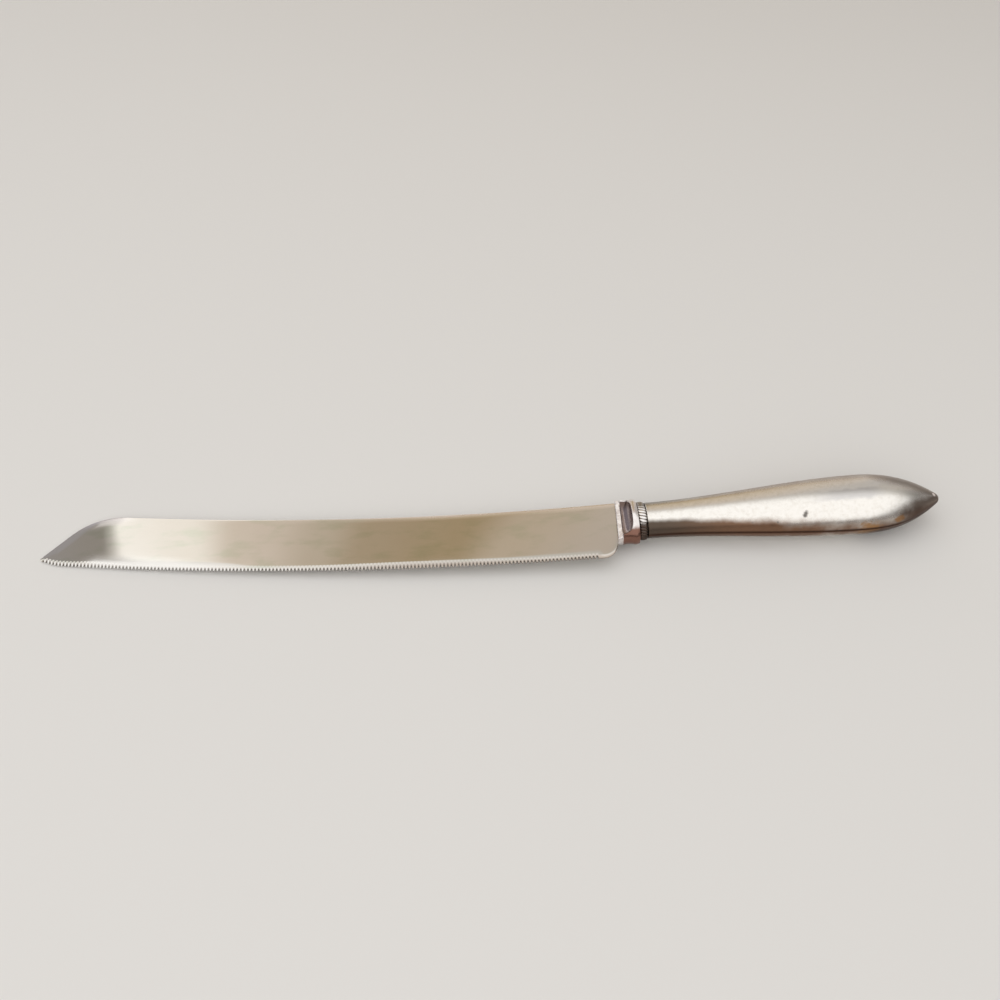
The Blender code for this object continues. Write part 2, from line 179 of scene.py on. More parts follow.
# %% Write the functions for places and clouds
def new_finish(name, metallic):
    """An empty finish and its shader."""
    finish = bpy.data.materials.new(name)
    finish.use_nodes = True
    shader = finish.node_tree.nodes["Principled BSDF"]
    shader.inputs["Metallic"].default_value = metallic
    return finish, shader


def knife_places(finish):
    """Positions on the knife's own axes, in metres."""
    places = add_node(finish, "ShaderNodeTexCoord", {}).outputs["Object"]
    own_axes = {"Vector": places, "Location": zero_point, "Rotation": lean.to_euler()}
    return add_node(finish, "ShaderNodeMapping", own_axes, vector_type="TEXTURE").outputs["Vector"]


def stretched(finish, places, cells_per_metre):
    """Places scaled differently along the three axes, for patterns that run one way."""
    scaling = {"Vector": places, "Scale": cells_per_metre}
    return add_node(finish, "ShaderNodeMapping", scaling).outputs["Vector"]


def clouds(finish, places, cells_per_metre, detail=4.0, roughness=0.55):
    """Soft clouds with values around one half."""
    inputs = {"Vector": places, "Scale": cells_per_metre, "Detail": detail, "Roughness": roughness}
    return add_node(finish, "ShaderNodeTexNoise", inputs).outputs["Fac"]


print("functions for places and clouds are ready")

# %% Write the functions for shares and colours
# The numbers of the sockets that the Mix node uses for colours
FACTOR, FIRST_COLOUR, SECOND_COLOUR, MIXED_COLOUR = 0, 6, 7, 2
SPECK_CORE = 0.4
SPECK_MARGIN = 0.05


def fade(finish, value, start, end, low=0.0, high=1.0):
    """Turn a range of values into a gentle step from low to high."""
    inputs = {"Value": value, "From Min": start, "From Max": end, "To Min": low, "To Max": high}
    return add_node(finish, "ShaderNodeMapRange", inputs, interpolation_type="SMOOTHSTEP").outputs["Result"]


def sums(finish, operation, first, second=0.0):
    """One sum on two values, such as SUBTRACT or DIVIDE."""
    return add_node(finish, "ShaderNodeMath", {0: first, 1: second}, operation=operation).outputs["Value"]


def times(finish, first, second):
    """Two values multiplied, such as a pattern and how much of it may show."""
    return sums(finish, "MULTIPLY", first, second)


def plus(finish, first, second):
    """Two values added."""
    return sums(finish, "ADD", first, second)


def larger(finish, first, second):
    """The larger of two values, so that two worn places don't add up."""
    return sums(finish, "MAXIMUM", first, second)


def mixed(finish, share, first, second):
    """Blend two colours by a share."""
    inputs = {FACTOR: share, FIRST_COLOUR: first, SECOND_COLOUR: second}
    return add_node(finish, "ShaderNodeMix", inputs, data_type="RGBA").outputs[MIXED_COLOUR]


def painted(finish, attribute):
    """A value that was stored on the piece's own points."""
    return add_node(finish, "ShaderNodeAttribute", {}, attribute_name=attribute).outputs["Fac"]


def specks(finish, places, cells_per_metre, size, share):
    """Small round specks in a share of the cells of a grid."""
    inputs = {"Vector": places, "Scale": cells_per_metre}
    cells = add_node(finish, "ShaderNodeTexVoronoi", inputs)
    spots = fade(finish, cells.outputs["Distance"], size, size * SPECK_CORE)
    chosen = fade(finish, cells.outputs["Color"], 1 - share, 1 - share + SPECK_MARGIN)
    return times(finish, spots, chosen)


def use_patterns(finish, shader, colour, roughness, relief, depth, strength):
    """Use patterns as a finish's colour and roughness, and to raise and lower its surface a little."""
    bump = add_node(finish, "ShaderNodeBump", {"Height": relief, "Distance": depth, "Strength": strength})
    uses = {"Base Color": colour, "Roughness": roughness, "Normal": bump.outputs["Normal"]}
    for socket, pattern in uses.items():
        finish.node_tree.links.new(pattern, shader.inputs[socket])


def tell(finish):
    """Print what a finish is made of."""
    print("mixed", finish.name, "with", len(finish.node_tree.nodes), "nodes")


print("functions for shares and colours are ready")

# %% [markdown]
# ## Blade steel
# The blade was glazed on a wheel, which leaves very fine lines across it, and then handled for decades.
# It is still almost a mirror, with dull smudges and a few water spots. The lines could be modelled, but
# they are finer than a hair, so a stretched cloud pattern as relief is the better choice. The teeth were
# ground last and are brighter, most of all near the tip, and behind the tip a strip of painted highlight
# runs up the grind above them. The flutes between the teeth are painted black as painted shade. Along the
# back towards the heel, and on the clip's shoulder, the corner is painted pale as a painted reflection and
# made dull. Where all that is, the blade's own points will say.

# %% Mix the blade steel
WARM_STEEL = (0.725, 0.69, 0.635, 1)
WARMER_STEEL = (0.70, 0.655, 0.595, 1)
SMEAR = (0.62, 0.625, 0.535, 1)
WATER_SPOT = (0.79, 0.77, 0.70, 1)
# Bright teeth, also the colour of the painted highlight up the grind behind the tip
TEETH_AND_SHINE_WHITE = (0.90, 0.88, 0.85, 1)
DARK_TEETH = (0.51, 0.44, 0.38, 1)
# Painted shade in the flutes between the teeth
PAINTED_FLUTE_SHADE = (0.15, 0.115, 0.095, 1)
# Painted reflection: the pale corner along the back and on the clip's shoulder
PAINTED_SHEEN_STEEL = (0.98, 0.93, 0.92, 1)
GROUND_DULLNESS = 0.12
RUBBED_DULLNESS = 0.22
# Places along the knife where a change starts and where it is complete
TEETH_DARKEN = (-0.14, -0.06)
SHEEN_TOWARDS_HEEL = (-0.105, -0.06)
SHEEN_TOWARDS_TIP = (-0.168, -0.178)


def blade_steel_finish():
    finish, shader = new_finish("blade_steel", 1.0)
    places = knife_places(finish)
    along = add_node(finish, "ShaderNodeSeparateXYZ", {"Vector": places}).outputs["X"]
    warm_cloud = fade(finish, clouds(finish, places, 16), 0.35, 0.7)
    warm = mixed(finish, warm_cloud, WARM_STEEL, WARMER_STEEL)
    smears = clouds(finish, stretched(finish, places, (70, 170, 170)), 1, detail=5)
    smeared = mixed(finish, fade(finish, smears, 0.46, 0.70, 0.0, 0.8), warm, SMEAR)
    spotted = mixed(finish, specks(finish, places, 150, size=0.20, share=0.08), smeared, WATER_SPOT)
    # Painted highlight: the teeth and a strip up the grind behind the tip take the bright colour
    teeth_and_shine_mask = painted(finish, "teeth_and_painted_shine")
    teeth_and_shine = mixed(finish, fade(finish, along, *TEETH_DARKEN), TEETH_AND_SHINE_WHITE, DARK_TEETH)
    toothed = mixed(finish, teeth_and_shine_mask, spotted, teeth_and_shine)
    # Painted shade: the flutes between the teeth are darkened
    fluted = mixed(finish, painted(finish, "flute"), toothed, PAINTED_FLUTE_SHADE)
    # Painted reflection: the corner of the back and of the clip's shoulder is painted pale and made dull
    by_heel = fade(finish, along, *SHEEN_TOWARDS_HEEL)
    by_tip = fade(finish, along, *SHEEN_TOWARDS_TIP)
    painted_sheen = times(finish, painted(finish, "painted_sheen"), larger(finish, by_heel, by_tip))
    colour = mixed(finish, painted_sheen, fluted, PAINTED_SHEEN_STEEL)
    smudges = fade(finish, clouds(finish, places, 38, detail=5), 0.35, 0.75, 0.03, 0.07)
    worked = plus(finish, times(finish, teeth_and_shine_mask, GROUND_DULLNESS), times(finish, painted_sheen, RUBBED_DULLNESS))
    glaze_lines = clouds(finish, stretched(finish, places, (5200, 60, 60)), 1, detail=2)
    use_patterns(finish, shader, colour, plus(finish, smudges, worked), glaze_lines, 0.00002, 0.012)
    return finish


blade_steel = blade_steel_finish()
tell(blade_steel)

# %% [markdown]
# ## The outline of the blade
# Seen from above, the blade's back and its edge are two long arcs that sweep upwards to the tip, where
# the edge turns up in a tighter round. A straight slant, the clip, cuts the blade off there, and rounds
# soften the tip, the clip's shoulder and the heel. Two functions give the height of the edge and of the
# back at any place along the blade.

# %% Find the centres of the arcs and rounds
BACK_LOW_POINT = Vector((-0.0220, 0.0084))
BACK_RADIUS = 1.04
EDGE_LOW_POINT = Vector((-0.0068, -0.0148))
EDGE_RADIUS = 1.21
RISE_START_X = -0.1932
RISE_ROUND = 0.020
CLIP_FOOT_X = -0.2035
CLIP_ANGLE = math.radians(46.2)
SHOULDER_ROUND = 0.021
TIP_ROUND = 0.0010
HEEL_ROUND = 0.006
HEEL_X = -0.00003


def circle_y(centre, radius, x, side):
    """Height of a circle at x, on its upper (side 1) or lower (side -1) half."""
    return centre.y + side * math.sqrt(max(radius ** 2 - (x - centre.x) ** 2, 0))


back_centre = BACK_LOW_POINT + Vector((0, BACK_RADIUS))
edge_centre = EDGE_LOW_POINT + Vector((0, EDGE_RADIUS))
rise_start = Vector((RISE_START_X, circle_y(edge_centre, EDGE_RADIUS, RISE_START_X, -1)))
rise_centre = rise_start + (edge_centre - rise_start).normalized() * RISE_ROUND
clip_foot = Vector((CLIP_FOOT_X, circle_y(edge_centre, EDGE_RADIUS, CLIP_FOOT_X, -1)))
clip_heading = Vector((math.cos(CLIP_ANGLE), math.sin(CLIP_ANGLE)))
clip_inwards = Vector((math.sin(CLIP_ANGLE), -math.cos(CLIP_ANGLE)))


def round_on_clip(radius, arc_centre, centre_distance):
    """Centre of a round that touches the clip and one of the blade's arcs."""
    offset = clip_foot + clip_inwards * radius - arc_centre
    half_b = clip_heading.dot(offset)
    root = math.sqrt(half_b ** 2 - offset.length_squared + centre_distance ** 2)
    along = min(-half_b - root, -half_b + root, key=abs)
    return clip_foot + clip_inwards * radius + clip_heading * along


tip_centre = round_on_clip(TIP_ROUND, rise_centre, RISE_ROUND - TIP_ROUND)
shoulder_centre = round_on_clip(SHOULDER_ROUND, back_centre, BACK_RADIUS + SHOULDER_ROUND)
heel_centre_x = HEEL_X - HEEL_ROUND
heel_centre = Vector((heel_centre_x, circle_y(edge_centre, EDGE_RADIUS - HEEL_ROUND, heel_centre_x, -1)))
tip_to_rise_x = (tip_centre + (tip_centre - rise_centre).normalized() * TIP_ROUND).x
tip_to_clip_x = (tip_centre - clip_inwards * TIP_ROUND).x
clip_to_shoulder_x = (shoulder_centre - clip_inwards * SHOULDER_ROUND).x
shoulder_to_back_x = (shoulder_centre + (back_centre - shoulder_centre).normalized() * SHOULDER_ROUND).x
edge_to_heel_x = (heel_centre + (heel_centre - edge_centre).normalized() * HEEL_ROUND).x
TIP_X = tip_centre.x - TIP_ROUND
print(f"blade is {(HEEL_X - TIP_X) * 1000:.1f} mm long")


# %% Write the outline
def edge_y(x):
    """Lower outline of the blade: tip round, rise, edge arc and heel round."""
    if x < tip_to_rise_x:
        return circle_y(tip_centre, TIP_ROUND, x, -1)
    if x < RISE_START_X:
        return circle_y(rise_centre, RISE_ROUND, x, -1)
    if x > edge_to_heel_x:
        return circle_y(heel_centre, HEEL_ROUND, x, -1)
    return circle_y(edge_centre, EDGE_RADIUS, x, -1)


def back_y(x):
    """Upper outline of the blade: tip round, clip, shoulder and back arc."""
    if x < tip_to_clip_x:
        return circle_y(tip_centre, TIP_ROUND, x, 1)
    if x < clip_to_shoulder_x:
        return clip_foot.y + (x - clip_foot.x) * math.tan(CLIP_ANGLE)
    if x < shoulder_to_back_x:
        return circle_y(shoulder_centre, SHOULDER_ROUND, x, 1)
    return circle_y(back_centre, BACK_RADIUS, x, -1)


middle_x = (TIP_X + HEEL_X) / 2
print(f"blade is {(back_y(middle_x) - edge_y(middle_x)) * 1000:.1f} mm wide in its middle")

# %% [markdown]
# ## Columns and rows of the blade
# The blade is one sheet of squares that is bent into shape, so its points need good places. Across the
# knife run columns, six to a tooth, so that every tooth has a tip, two flanks and a gullet. Along it run
# rows: close together in the ground flutes above the teeth, then up the grind, over the broad cheek and
# across the bevel at the back. Each row is a zone and a share of that zone.

# %% Choose the columns and rows
TOOTH_PITCH = 0.00125
TEETH_END_X = -0.0080
STEPS_PER_TOOTH = 6
TIP_DEGREES = (7, 18, 32, 45)
PLAIN_COLUMNS = 9
HEEL_COLUMNS = 14
HEEL_FIRST_ANGLE = 0.1
ROW_SHARES = {
    "flute": (0, 0.15, 0.35, 0.6, 0.8),
    "grind": (0, 0.25, 0.5, 0.75),
    "cheek": between(0, 1, 12)[:-1],
    "bevel": (0, 0.25, 0.5, 0.7, 0.88, 1),
}


def edge_angle(x):
    """Direction of a place on the edge, seen from the centre of the edge's arc."""
    return math.asin((x - edge_centre.x) / EDGE_RADIUS)


def blade_columns():
    """Places along the blade, each with its share of the way from one tooth to the next."""
    tip = [(tip_centre.x - TIP_ROUND * math.cos(math.radians(a)), 0) for a in TIP_DEGREES]
    first, last = edge_angle(tip_to_rise_x), edge_angle(TEETH_END_X)
    teeth = round((last - first) * EDGE_RADIUS / TOOTH_PITCH)
    steps = teeth * STEPS_PER_TOOTH
    toothed = [(edge_centre.x + EDGE_RADIUS * math.sin(first + (last - first) * k / steps),
                k % STEPS_PER_TOOTH / STEPS_PER_TOOTH) for k in range(steps + 1)]
    plain = [(x, 0) for x in between(TEETH_END_X, edge_to_heel_x, PLAIN_COLUMNS)[1:]]
    heel_angles = between(HEEL_FIRST_ANGLE, math.pi / 2, HEEL_COLUMNS)
    heel = [(heel_centre.x + HEEL_ROUND * math.sin(a), 0) for a in heel_angles]
    print(f"{teeth} teeth along {(TEETH_END_X - tip_to_rise_x) * 1000:.0f} mm of edge")
    return tip + toothed + plain + heel


columns = blade_columns()
rows = [(zone, share) for zone, shares in ROW_SHARES.items() for share in shares]
print(len(columns), "columns and", len(rows), "rows")

# %% [markdown]
# ## The surface of the blade
# The blade thins from heel to tip. Its cheeks are crowned by a few hundredths of a millimetre, which no
# one feels but every reflection shows. Below, a shallow grind falls towards the edge, deepest a little way
# behind the tip, and a steeper bevel forms the teeth and runs on round the heel. Above, the clip has a wide
# bevel while the rest of the back is only eased. A flute runs up from each gullet, longest at the tip and
# again before the heel. The blade is set at a slight angle to the handle, so its heel leans over by that
# angle.

# %% Choose the thickness and the bevels
HEEL_THICKNESS = 0.0013
TIP_THICKNESS = 0.0009
LEAST_HALF_THICKNESS = 0.00006
CAMBER = 0.00009
GRIND_HEIGHT = 0.0042
GRIND_DROP = 0.00003
DEEPER_DROP = 0.00019
GRIND_ROUNDNESS = 1.6
TIP_BEVEL = 0.0013
TOOTH_BEVEL = 0.0009
HEEL_BEVEL = 0.0007
BEVEL_DROP = 0.00024
TOOTH_DEPTH = 0.00095
TIP_FLUTE = 0.0021
FLUTE_HEIGHT = 0.0015
HEEL_FLUTE_SHARE = 0.5
TALLER_RIDGES = 0.6
FLUTE_DEPTH = 0.00022
CLIP_BEVEL = 0.0044
CLIP_BEVEL_END = 0.010
CLIP_TOP_THICKNESS = 0.00028
CLIP_SHARPNESS = 0.2
BACK_EASE = 0.0008
BACK_EASE_DROP = 0.00026
BACK_ROUNDNESS = 1.5
BLADE_LEAN = math.tan(math.radians(3.5))
ROOM_FOR_BEVELS = 0.0092
ROOM_FOR_TEETH = 0.0048


def cheek_half(x):
    """Half the blade's thickness on the middle of its cheeks."""
    share = (x - TIP_X) / (HEEL_X - TIP_X)
    return (TIP_THICKNESS + (HEEL_THICKNESS - TIP_THICKNESS) * share) / 2


def gullet(phase):
    """How deep a place between two teeth is cut: 0 at a tooth's tip and 1 in the gullet."""
    return (1 - math.cos(2 * math.pi * phase)) / 2


print(f"a tooth is {TOOTH_DEPTH * 1000:.2f} mm deep, and its flute {FLUTE_HEIGHT * 1000:.1f} mm high")

# %% Choose the stretches of the blade that differ
# Each stretch has its start behind the tip, the length of its rise, its end and the length of its fall
DEEP_GRIND = (0.0115, 0.009, 0.0815, 0.032)
WIDE_SHINE = (0.0115, 0.009, 0.060, 0.020)
TALL_RIDGES = (0.09, 0.04, 0.180, 0.04)
SHEEN_ON_SHOULDER = (0.013, 0.006, 0.030, 0.006)
# These have only their start behind the tip and the length of their rise
CAMBER_BELOW = (0.016, 0.035)
SHORT_FLUTES = (0.0155, 0.020)
# How much of each kind of wear and painted light shows, and how far it reaches
# Painted highlight: how bright and how wide the strip up the grind behind the tip is painted
GRIND_SHINE = 0.8
SHINE_SWELL = 0.6
SHINE_FULLNESS = 1.5
FRESH_REACH = 1.6
GULLET_SHADE = 0.5
FLUTE_SHADE_REACH = 1.5
SHEEN_REACH = 2
SHOULDER_SHEEN = 0.7
SHOULDER_SHEEN_WIDTH = 0.0030
SHOULDER_SHEEN_FULLNESS = 1.5


def stretch(from_tip, start, rise, end, fall):
    """A share of 1 along a stretch of the blade, which rises and falls gently at its ends."""
    return ease((from_tip - start) / rise) * ease((end - from_tip) / fall)


def risen(from_tip, start, rise):
    """A share that rises gently from 0 to 1 behind a start."""
    return ease((from_tip - start) / rise)


print(f"the grind is deepest from {1000 * sum(DEEP_GRIND[:2]):.1f} mm behind the tip on")


# %% Write the wear and the painted light of the blade
def clip_share(x):
    """1 on the clip, falling to 0 on the back behind its shoulder."""
    return 1 - ease((x - clip_to_shoulder_x) / CLIP_BEVEL_END)


def blade_wear_and_light(column, above_edge, below_back, grind, in_flute):
    """How bright the teeth are, and how much painted highlight, painted reflection and painted shade a point
    of the blade has.
    """
    x, phase = column
    from_tip = x - TIP_X
    # Painted highlight: a bright strip painted up the grind behind the tip
    swell = 1 + SHINE_SWELL * stretch(from_tip, *WIDE_SHINE)
    painted_shine = GRIND_SHINE * stretch(from_tip, *DEEP_GRIND)
    shine = painted_shine * ease(SHINE_FULLNESS * (1 - above_edge / (grind * swell)))
    past_tip_round = ease((x - tip_to_rise_x) / TOOTH_PITCH)
    # The teeth are brighter, and dimmed in each gullet as painted shade
    teeth_and_shine = past_tip_round * ease(in_flute * FRESH_REACH) * (1 - GULLET_SHADE * gullet(phase))
    # Painted reflection: a pale strip along the back towards the heel and on the clip's shoulder
    shoulder_top = ease(SHOULDER_SHEEN_FULLNESS - below_back / SHOULDER_SHEEN_WIDTH)
    shoulder_sheen = SHOULDER_SHEEN * stretch(from_tip, *SHEEN_ON_SHOULDER) * shoulder_top
    back_sheen = (1 - clip_share(x)) * ease(SHEEN_REACH - below_back / BACK_EASE)
    # Painted shade: dark in the flutes between the teeth, deepest in each gullet
    flute_shade = ease(in_flute * FLUTE_SHADE_REACH) * gullet(phase)
    return max(teeth_and_shine, shine), max(back_sheen, shoulder_sheen), flute_shade


last_tooth = (TEETH_END_X, 0)
tooth_wear_and_light = blade_wear_and_light(last_tooth, above_edge=0, below_back=GRIND_HEIGHT, grind=GRIND_HEIGHT, in_flute=1)
print("wear at the last tooth:", tooth_wear_and_light)


# %% Write the surface
def blade_point(column, row):
    """A point on the blade's upper side, and its wear."""
    x, phase = column
    zone, share = row
    low = edge_y(x)
    high = back_y(x)
    width = high - low
    room = min(1, width / ROOM_FOR_BEVELS)
    tooth_room = min(1, width / ROOM_FOR_TEETH)
    on_clip = clip_share(x)
    notch = TOOTH_DEPTH * gullet(phase) * tooth_room
    from_tip = x - TIP_X
    behind_tip = risen(from_tip, *SHORT_FLUTES)
    deeper = stretch(from_tip, *DEEP_GRIND)
    taller = 1 + TALLER_RIDGES * stretch(from_tip, *TALL_RIDGES)
    flute = (TIP_FLUTE + (FLUTE_HEIGHT - TIP_FLUTE) * behind_tip) * tooth_room * taller
    grind = GRIND_HEIGHT * room
    bevel = (BACK_EASE + (CLIP_BEVEL - BACK_EASE) * on_clip) * room
    starts = {"flute": low + notch, "grind": low + flute, "cheek": low + grind, "bevel": high - bevel}
    ends = {"flute": low + flute, "grind": low + grind, "cheek": high - bevel, "bevel": high}
    y = starts[zone] + (ends[zone] - starts[zone]) * share

    above_edge = y - low
    below_back = high - y
    camber = CAMBER * room * (2 * above_edge / width - 1) ** 2
    if above_edge < width / 2:
        camber *= risen(from_tip, *CAMBER_BELOW)
    half = cheek_half(x) - camber
    eased_half = half - BACK_EASE_DROP
    back_half = eased_half + (CLIP_TOP_THICKNESS / 2 - eased_half) * on_clip
    before_heel = 1 - ease((x - TEETH_END_X) / (edge_to_heel_x - TEETH_END_X))
    z = half
    grind_drop = (GRIND_DROP + DEEPER_DROP * deeper) * before_heel
    z -= grind_drop * max(1 - above_edge / grind, 0) ** GRIND_ROUNDNESS
    tooth_bevel = TIP_BEVEL + (TOOTH_BEVEL - TIP_BEVEL) * behind_tip
    edge_bevel = (HEEL_BEVEL + (tooth_bevel - HEEL_BEVEL) * before_heel) * tooth_room * taller
    z -= BEVEL_DROP * tooth_room * taller * max(1 - above_edge / edge_bevel, 0)
    z -= (half - back_half) * max(1 - below_back / bevel, 0) ** (BACK_ROUNDNESS - CLIP_SHARPNESS * on_clip)
    flute_share = HEEL_FLUTE_SHARE + (1 - HEEL_FLUTE_SHARE) * before_heel
    in_flute = max(1 - above_edge / (flute * flute_share), 0)
    z -= FLUTE_DEPTH * gullet(phase) * in_flute
    in_heel = max((x - edge_to_heel_x) / (HEEL_X - edge_to_heel_x), 0)
    place = Vector((x + y * BLADE_LEAN * in_heel, y, max(z, LEAST_HALF_THICKNESS)))
    return place, blade_wear_and_light(column, above_edge, below_back, grind, in_flute)


middle_column = columns[len(columns) // 2]
print("half thickness in mid cheek:", round(blade_point(middle_column, ("cheek", 0.5))[0].z * 1000, 3), "mm")

# %% [markdown]
# ## Bending the sheet into the blade
# A flat grid gets one square for every column and row, and each of its points moves to its place on the
# blade. That makes the upper side. Its rim is extruded down to the middle plane and mirrored, so both
# sides and the thin walls between them close into one solid. The tang, which only the handle's inside
# sees, is pulled out of the faces at the back of the heel.

# %% Make the saw blade
TANG_HALF_WIDTH = 0.0045
TANG_END_HALF_WIDTH = 0.0028
TANG_HALF_THICKNESS = 0.00055
TANG_END_X = 0.060
TINY = 1e-6
MERGE_DISTANCE = 1e-7
# Wear and painted light kept on the blade's points: bright teeth with a painted highlight, a painted
# reflection along the back, and painted shade in the flutes
WEAR_AND_PAINTED_LIGHT = ("teeth_and_painted_shine", "painted_sheen", "flute")


def made_points(result):
    """The points among what an operator has made."""
    return [part for part in result["geom"] if isinstance(part, bmesh.types.BMVert)]


def upper_blade_side(bm):
    """One side of the blade, from a grid."""
    last_column, last_row = len(columns) - 1, len(rows) - 1
    bmesh.ops.create_grid(bm, x_segments=last_column, y_segments=last_row, size=1)
    layers = [bm.verts.layers.float.new(kind) for kind in WEAR_AND_PAINTED_LIGHT]
    for vertex in bm.verts:
        column = columns[round((vertex.co.x + 1) / 2 * last_column)]
        row = rows[round((vertex.co.y + 1) / 2 * last_row)]
        vertex.co, wear_and_light = blade_point(column, row)
        for layer, share in zip(layers, wear_and_light):
            vertex[layer] = share


def close_blade(bm):
    """Walls down to the middle plane, then the other side as a mirror image."""
    rim = [edge for edge in bm.edges if edge.is_boundary]
    for vertex in made_points(bmesh.ops.extrude_edge_only(bm, edges=rim)):
        vertex.co.z = 0
    everything = bm.verts[:] + bm.edges[:] + bm.faces[:]
    bmesh.ops.mirror(bm, geom=everything, matrix=Matrix(), merge_dist=MERGE_DISTANCE, axis="Z")
    bmesh.ops.recalc_face_normals(bm, faces=bm.faces)


def at_tang_root(face):
    """Whether a face is in the middle of the heel's rear wall."""
    in_rear_wall = all(v.co.x > HEEL_X + v.co.y * BLADE_LEAN - TINY for v in face.verts)
    return in_rear_wall and abs(face.calc_center_median().y) < TANG_HALF_WIDTH


def pull_out_tang(bm):
    """A tapered bar from the middle of the heel's rear wall."""
    root = [face for face in bm.faces if at_tang_root(face)]
    for vertex in made_points(bmesh.ops.extrude_face_region(bm, geom=root)):
        z = vertex.co.z
        vertex.co.x = TANG_END_X
        vertex.co.y *= TANG_END_HALF_WIDTH / TANG_HALF_WIDTH
        vertex.co.z = math.copysign(TANG_HALF_THICKNESS, z) if abs(z) > TINY else 0


blade_mesh = bmesh.new()
upper_blade_side(blade_mesh)
close_blade(blade_mesh)
pull_out_tang(blade_mesh)
finish_piece(blade_mesh, "saw_blade", "blade", blade_steel, 30)

# %% [markdown]
# ## Bolster steel
# The bolster is cast and polished. Hands and cloths keep its bar and collar bright. The dished cheeks are
# painted violet-grey as a painted reflection and darker towards the blade's back as painted shade, and the
# front flank is painted brown as a painted reflection. The piece's own points say where the dish and the
# flank are, and clouds break up their borders.

# %% Mix the bolster steel
CLEAN_CAST, FILMED_CAST = (0.86, 0.82, 0.80, 1), (0.71, 0.64, 0.62, 1)
# Painted reflection: the brown of the front flank
FLANK_BROWN, PALER_BROWN = (0.19, 0.09, 0.063, 1), (0.29, 0.165, 0.13, 1)
# Painted reflection: the violet-grey of the dished cheeks
VIOLET_GREY, PALER_VIOLET = (0.31, 0.255, 0.26, 1), (0.44, 0.365, 0.365, 1)
# Painted shade: the dish is darker towards the blade's back
DISH_SHADE = (0.15, 0.105, 0.09, 1)
# Places across the knife where the painted shade starts and where it is complete
SHADE_BY_BACK = (0.0026, 0.0062)


def bolster_steel_finish():
    finish, shader = new_finish("bolster_steel", 1.0)
    places = knife_places(finish)
    across = add_node(finish, "ShaderNodeSeparateXYZ", {"Vector": places}).outputs["Y"]
    film = clouds(finish, places, 420, detail=5)
    border = fade(finish, film, 0.3, 0.7, -0.12, 0.12)
    bright = mixed(finish, fade(finish, film, 0.4, 0.72), CLEAN_CAST, FILMED_CAST)
    # Painted reflection: the front flank is painted brown
    brown = mixed(finish, film, FLANK_BROWN, PALER_BROWN)
    flank = fade(finish, plus(finish, painted(finish, "flank"), border), 0.1, 0.9)
    flanked = mixed(finish, flank, bright, brown)
    # Painted reflection and shade: the dish is painted violet-grey, darker towards the back
    violet = mixed(finish, film, VIOLET_GREY, PALER_VIOLET)
    shaded_dish = mixed(finish, fade(finish, across, *SHADE_BY_BACK), violet, DISH_SHADE)
    dish = fade(finish, plus(finish, painted(finish, "dish"), border), 0.25, 0.75)
    colour = mixed(finish, dish, flanked, shaded_dish)
    dull = fade(finish, film, 0.3, 0.75, 0.16, 0.30)
    use_patterns(finish, shader, colour, dull, clouds(finish, places, 1500, detail=3), 0.00003, 0.06)
    return finish


bolster_steel = bolster_steel_finish()
tell(bolster_steel)

# %% [markdown]
# ## The bolster
# The bolster joins the flat blade to the oval handle. At its front a flat bar lies across the blade's
# root. Behind it each cheek is dished, with a soft lip at either end, and the dish climbs to an oval
# collar. Every cross section is an oval whose top and bottom are cut down to the bar or the dish, so the
# whole piece is one ring of points extruded from section to section. After the last outer section the
# ring turns inside and comes back along the slot of the tang, and there it meets its start.

# %% Write the heights of the bolster
BOLSTER_LENGTH = 0.0072
BOLSTER_HALF_WIDTH = 0.0088
BOLSTER_HALF_THICKNESS = 0.00605
BAR_LENGTH = 0.0015
BAR_FRONT_HALF = 0.00168
BAR_REAR_HALF = 0.00220
BAR_CORNER = 0.00012
DISH_START_X = 0.0019
DISH_FLOOR_HALF = 0.00172
COLLAR_FRONT_X = 0.0052
LIP_Y = 0.0073
LIP_RISE = 0.0011
LIP_POWER = 6
LIP_SOFTNESS = 0.0003


def bar_height(x):
    """The bar's top, which rises a little to the rear and has an eased front corner."""
    corner = BAR_CORNER * max(1 - x / BAR_CORNER, 0) ** 2
    return BAR_FRONT_HALF + (BAR_REAR_HALF - BAR_FRONT_HALF) * x / BAR_LENGTH - corner


def dish_height(x, y):
    """The dished cheek, which climbs to the collar in a quarter round and to a lip at either end."""
    climb = min(max((x - DISH_START_X) / (COLLAR_FRONT_X - DISH_START_X), 0), 1)
    rise = (BOLSTER_HALF_THICKNESS + LIP_SOFTNESS - DISH_FLOOR_HALF) * (1 - math.sqrt(1 - climb ** 2))
    return DISH_FLOOR_HALF + rise + LIP_RISE * abs(y / LIP_Y) ** LIP_POWER


def cheek_height(x, y):
    """Height of the bar, the step behind it or the dish."""
    if x <= BAR_LENGTH:
        return bar_height(x)
    step = ease((x - BAR_LENGTH) / (DISH_START_X - BAR_LENGTH))
    return BAR_REAR_HALF + (dish_height(x, y) - BAR_REAR_HALF) * step


def soft_lower(first, second):
    """The lower of two heights, with the corner between them rounded."""
    blend = max(LIP_SOFTNESS - abs(first - second), 0) / LIP_SOFTNESS
    return min(first, second) - LIP_SOFTNESS * blend ** 2 / 4


print(f"dish is {(BAR_REAR_HALF - dish_height(DISH_START_X, 0)) * 1000:.2f} mm below the bar")

# %% Write the sections of the bolster
COLLAR_RIM = 0.00025
COLLAR_CROWN = 0.00018
WAIST = 0.0003
TANG_ROOM = 0.0003
ROUND_POINTS = 160
CORNER_SHARES = (0, 0.35, 0.7)
BAR_STEPS, LIP_STEPS, DISH_STEPS, COLLAR_STEPS, RIM_STEPS = 8, 7, 32, 9, 7

round_angles = [2 * math.pi * k / ROUND_POINTS for k in range(ROUND_POINTS)]


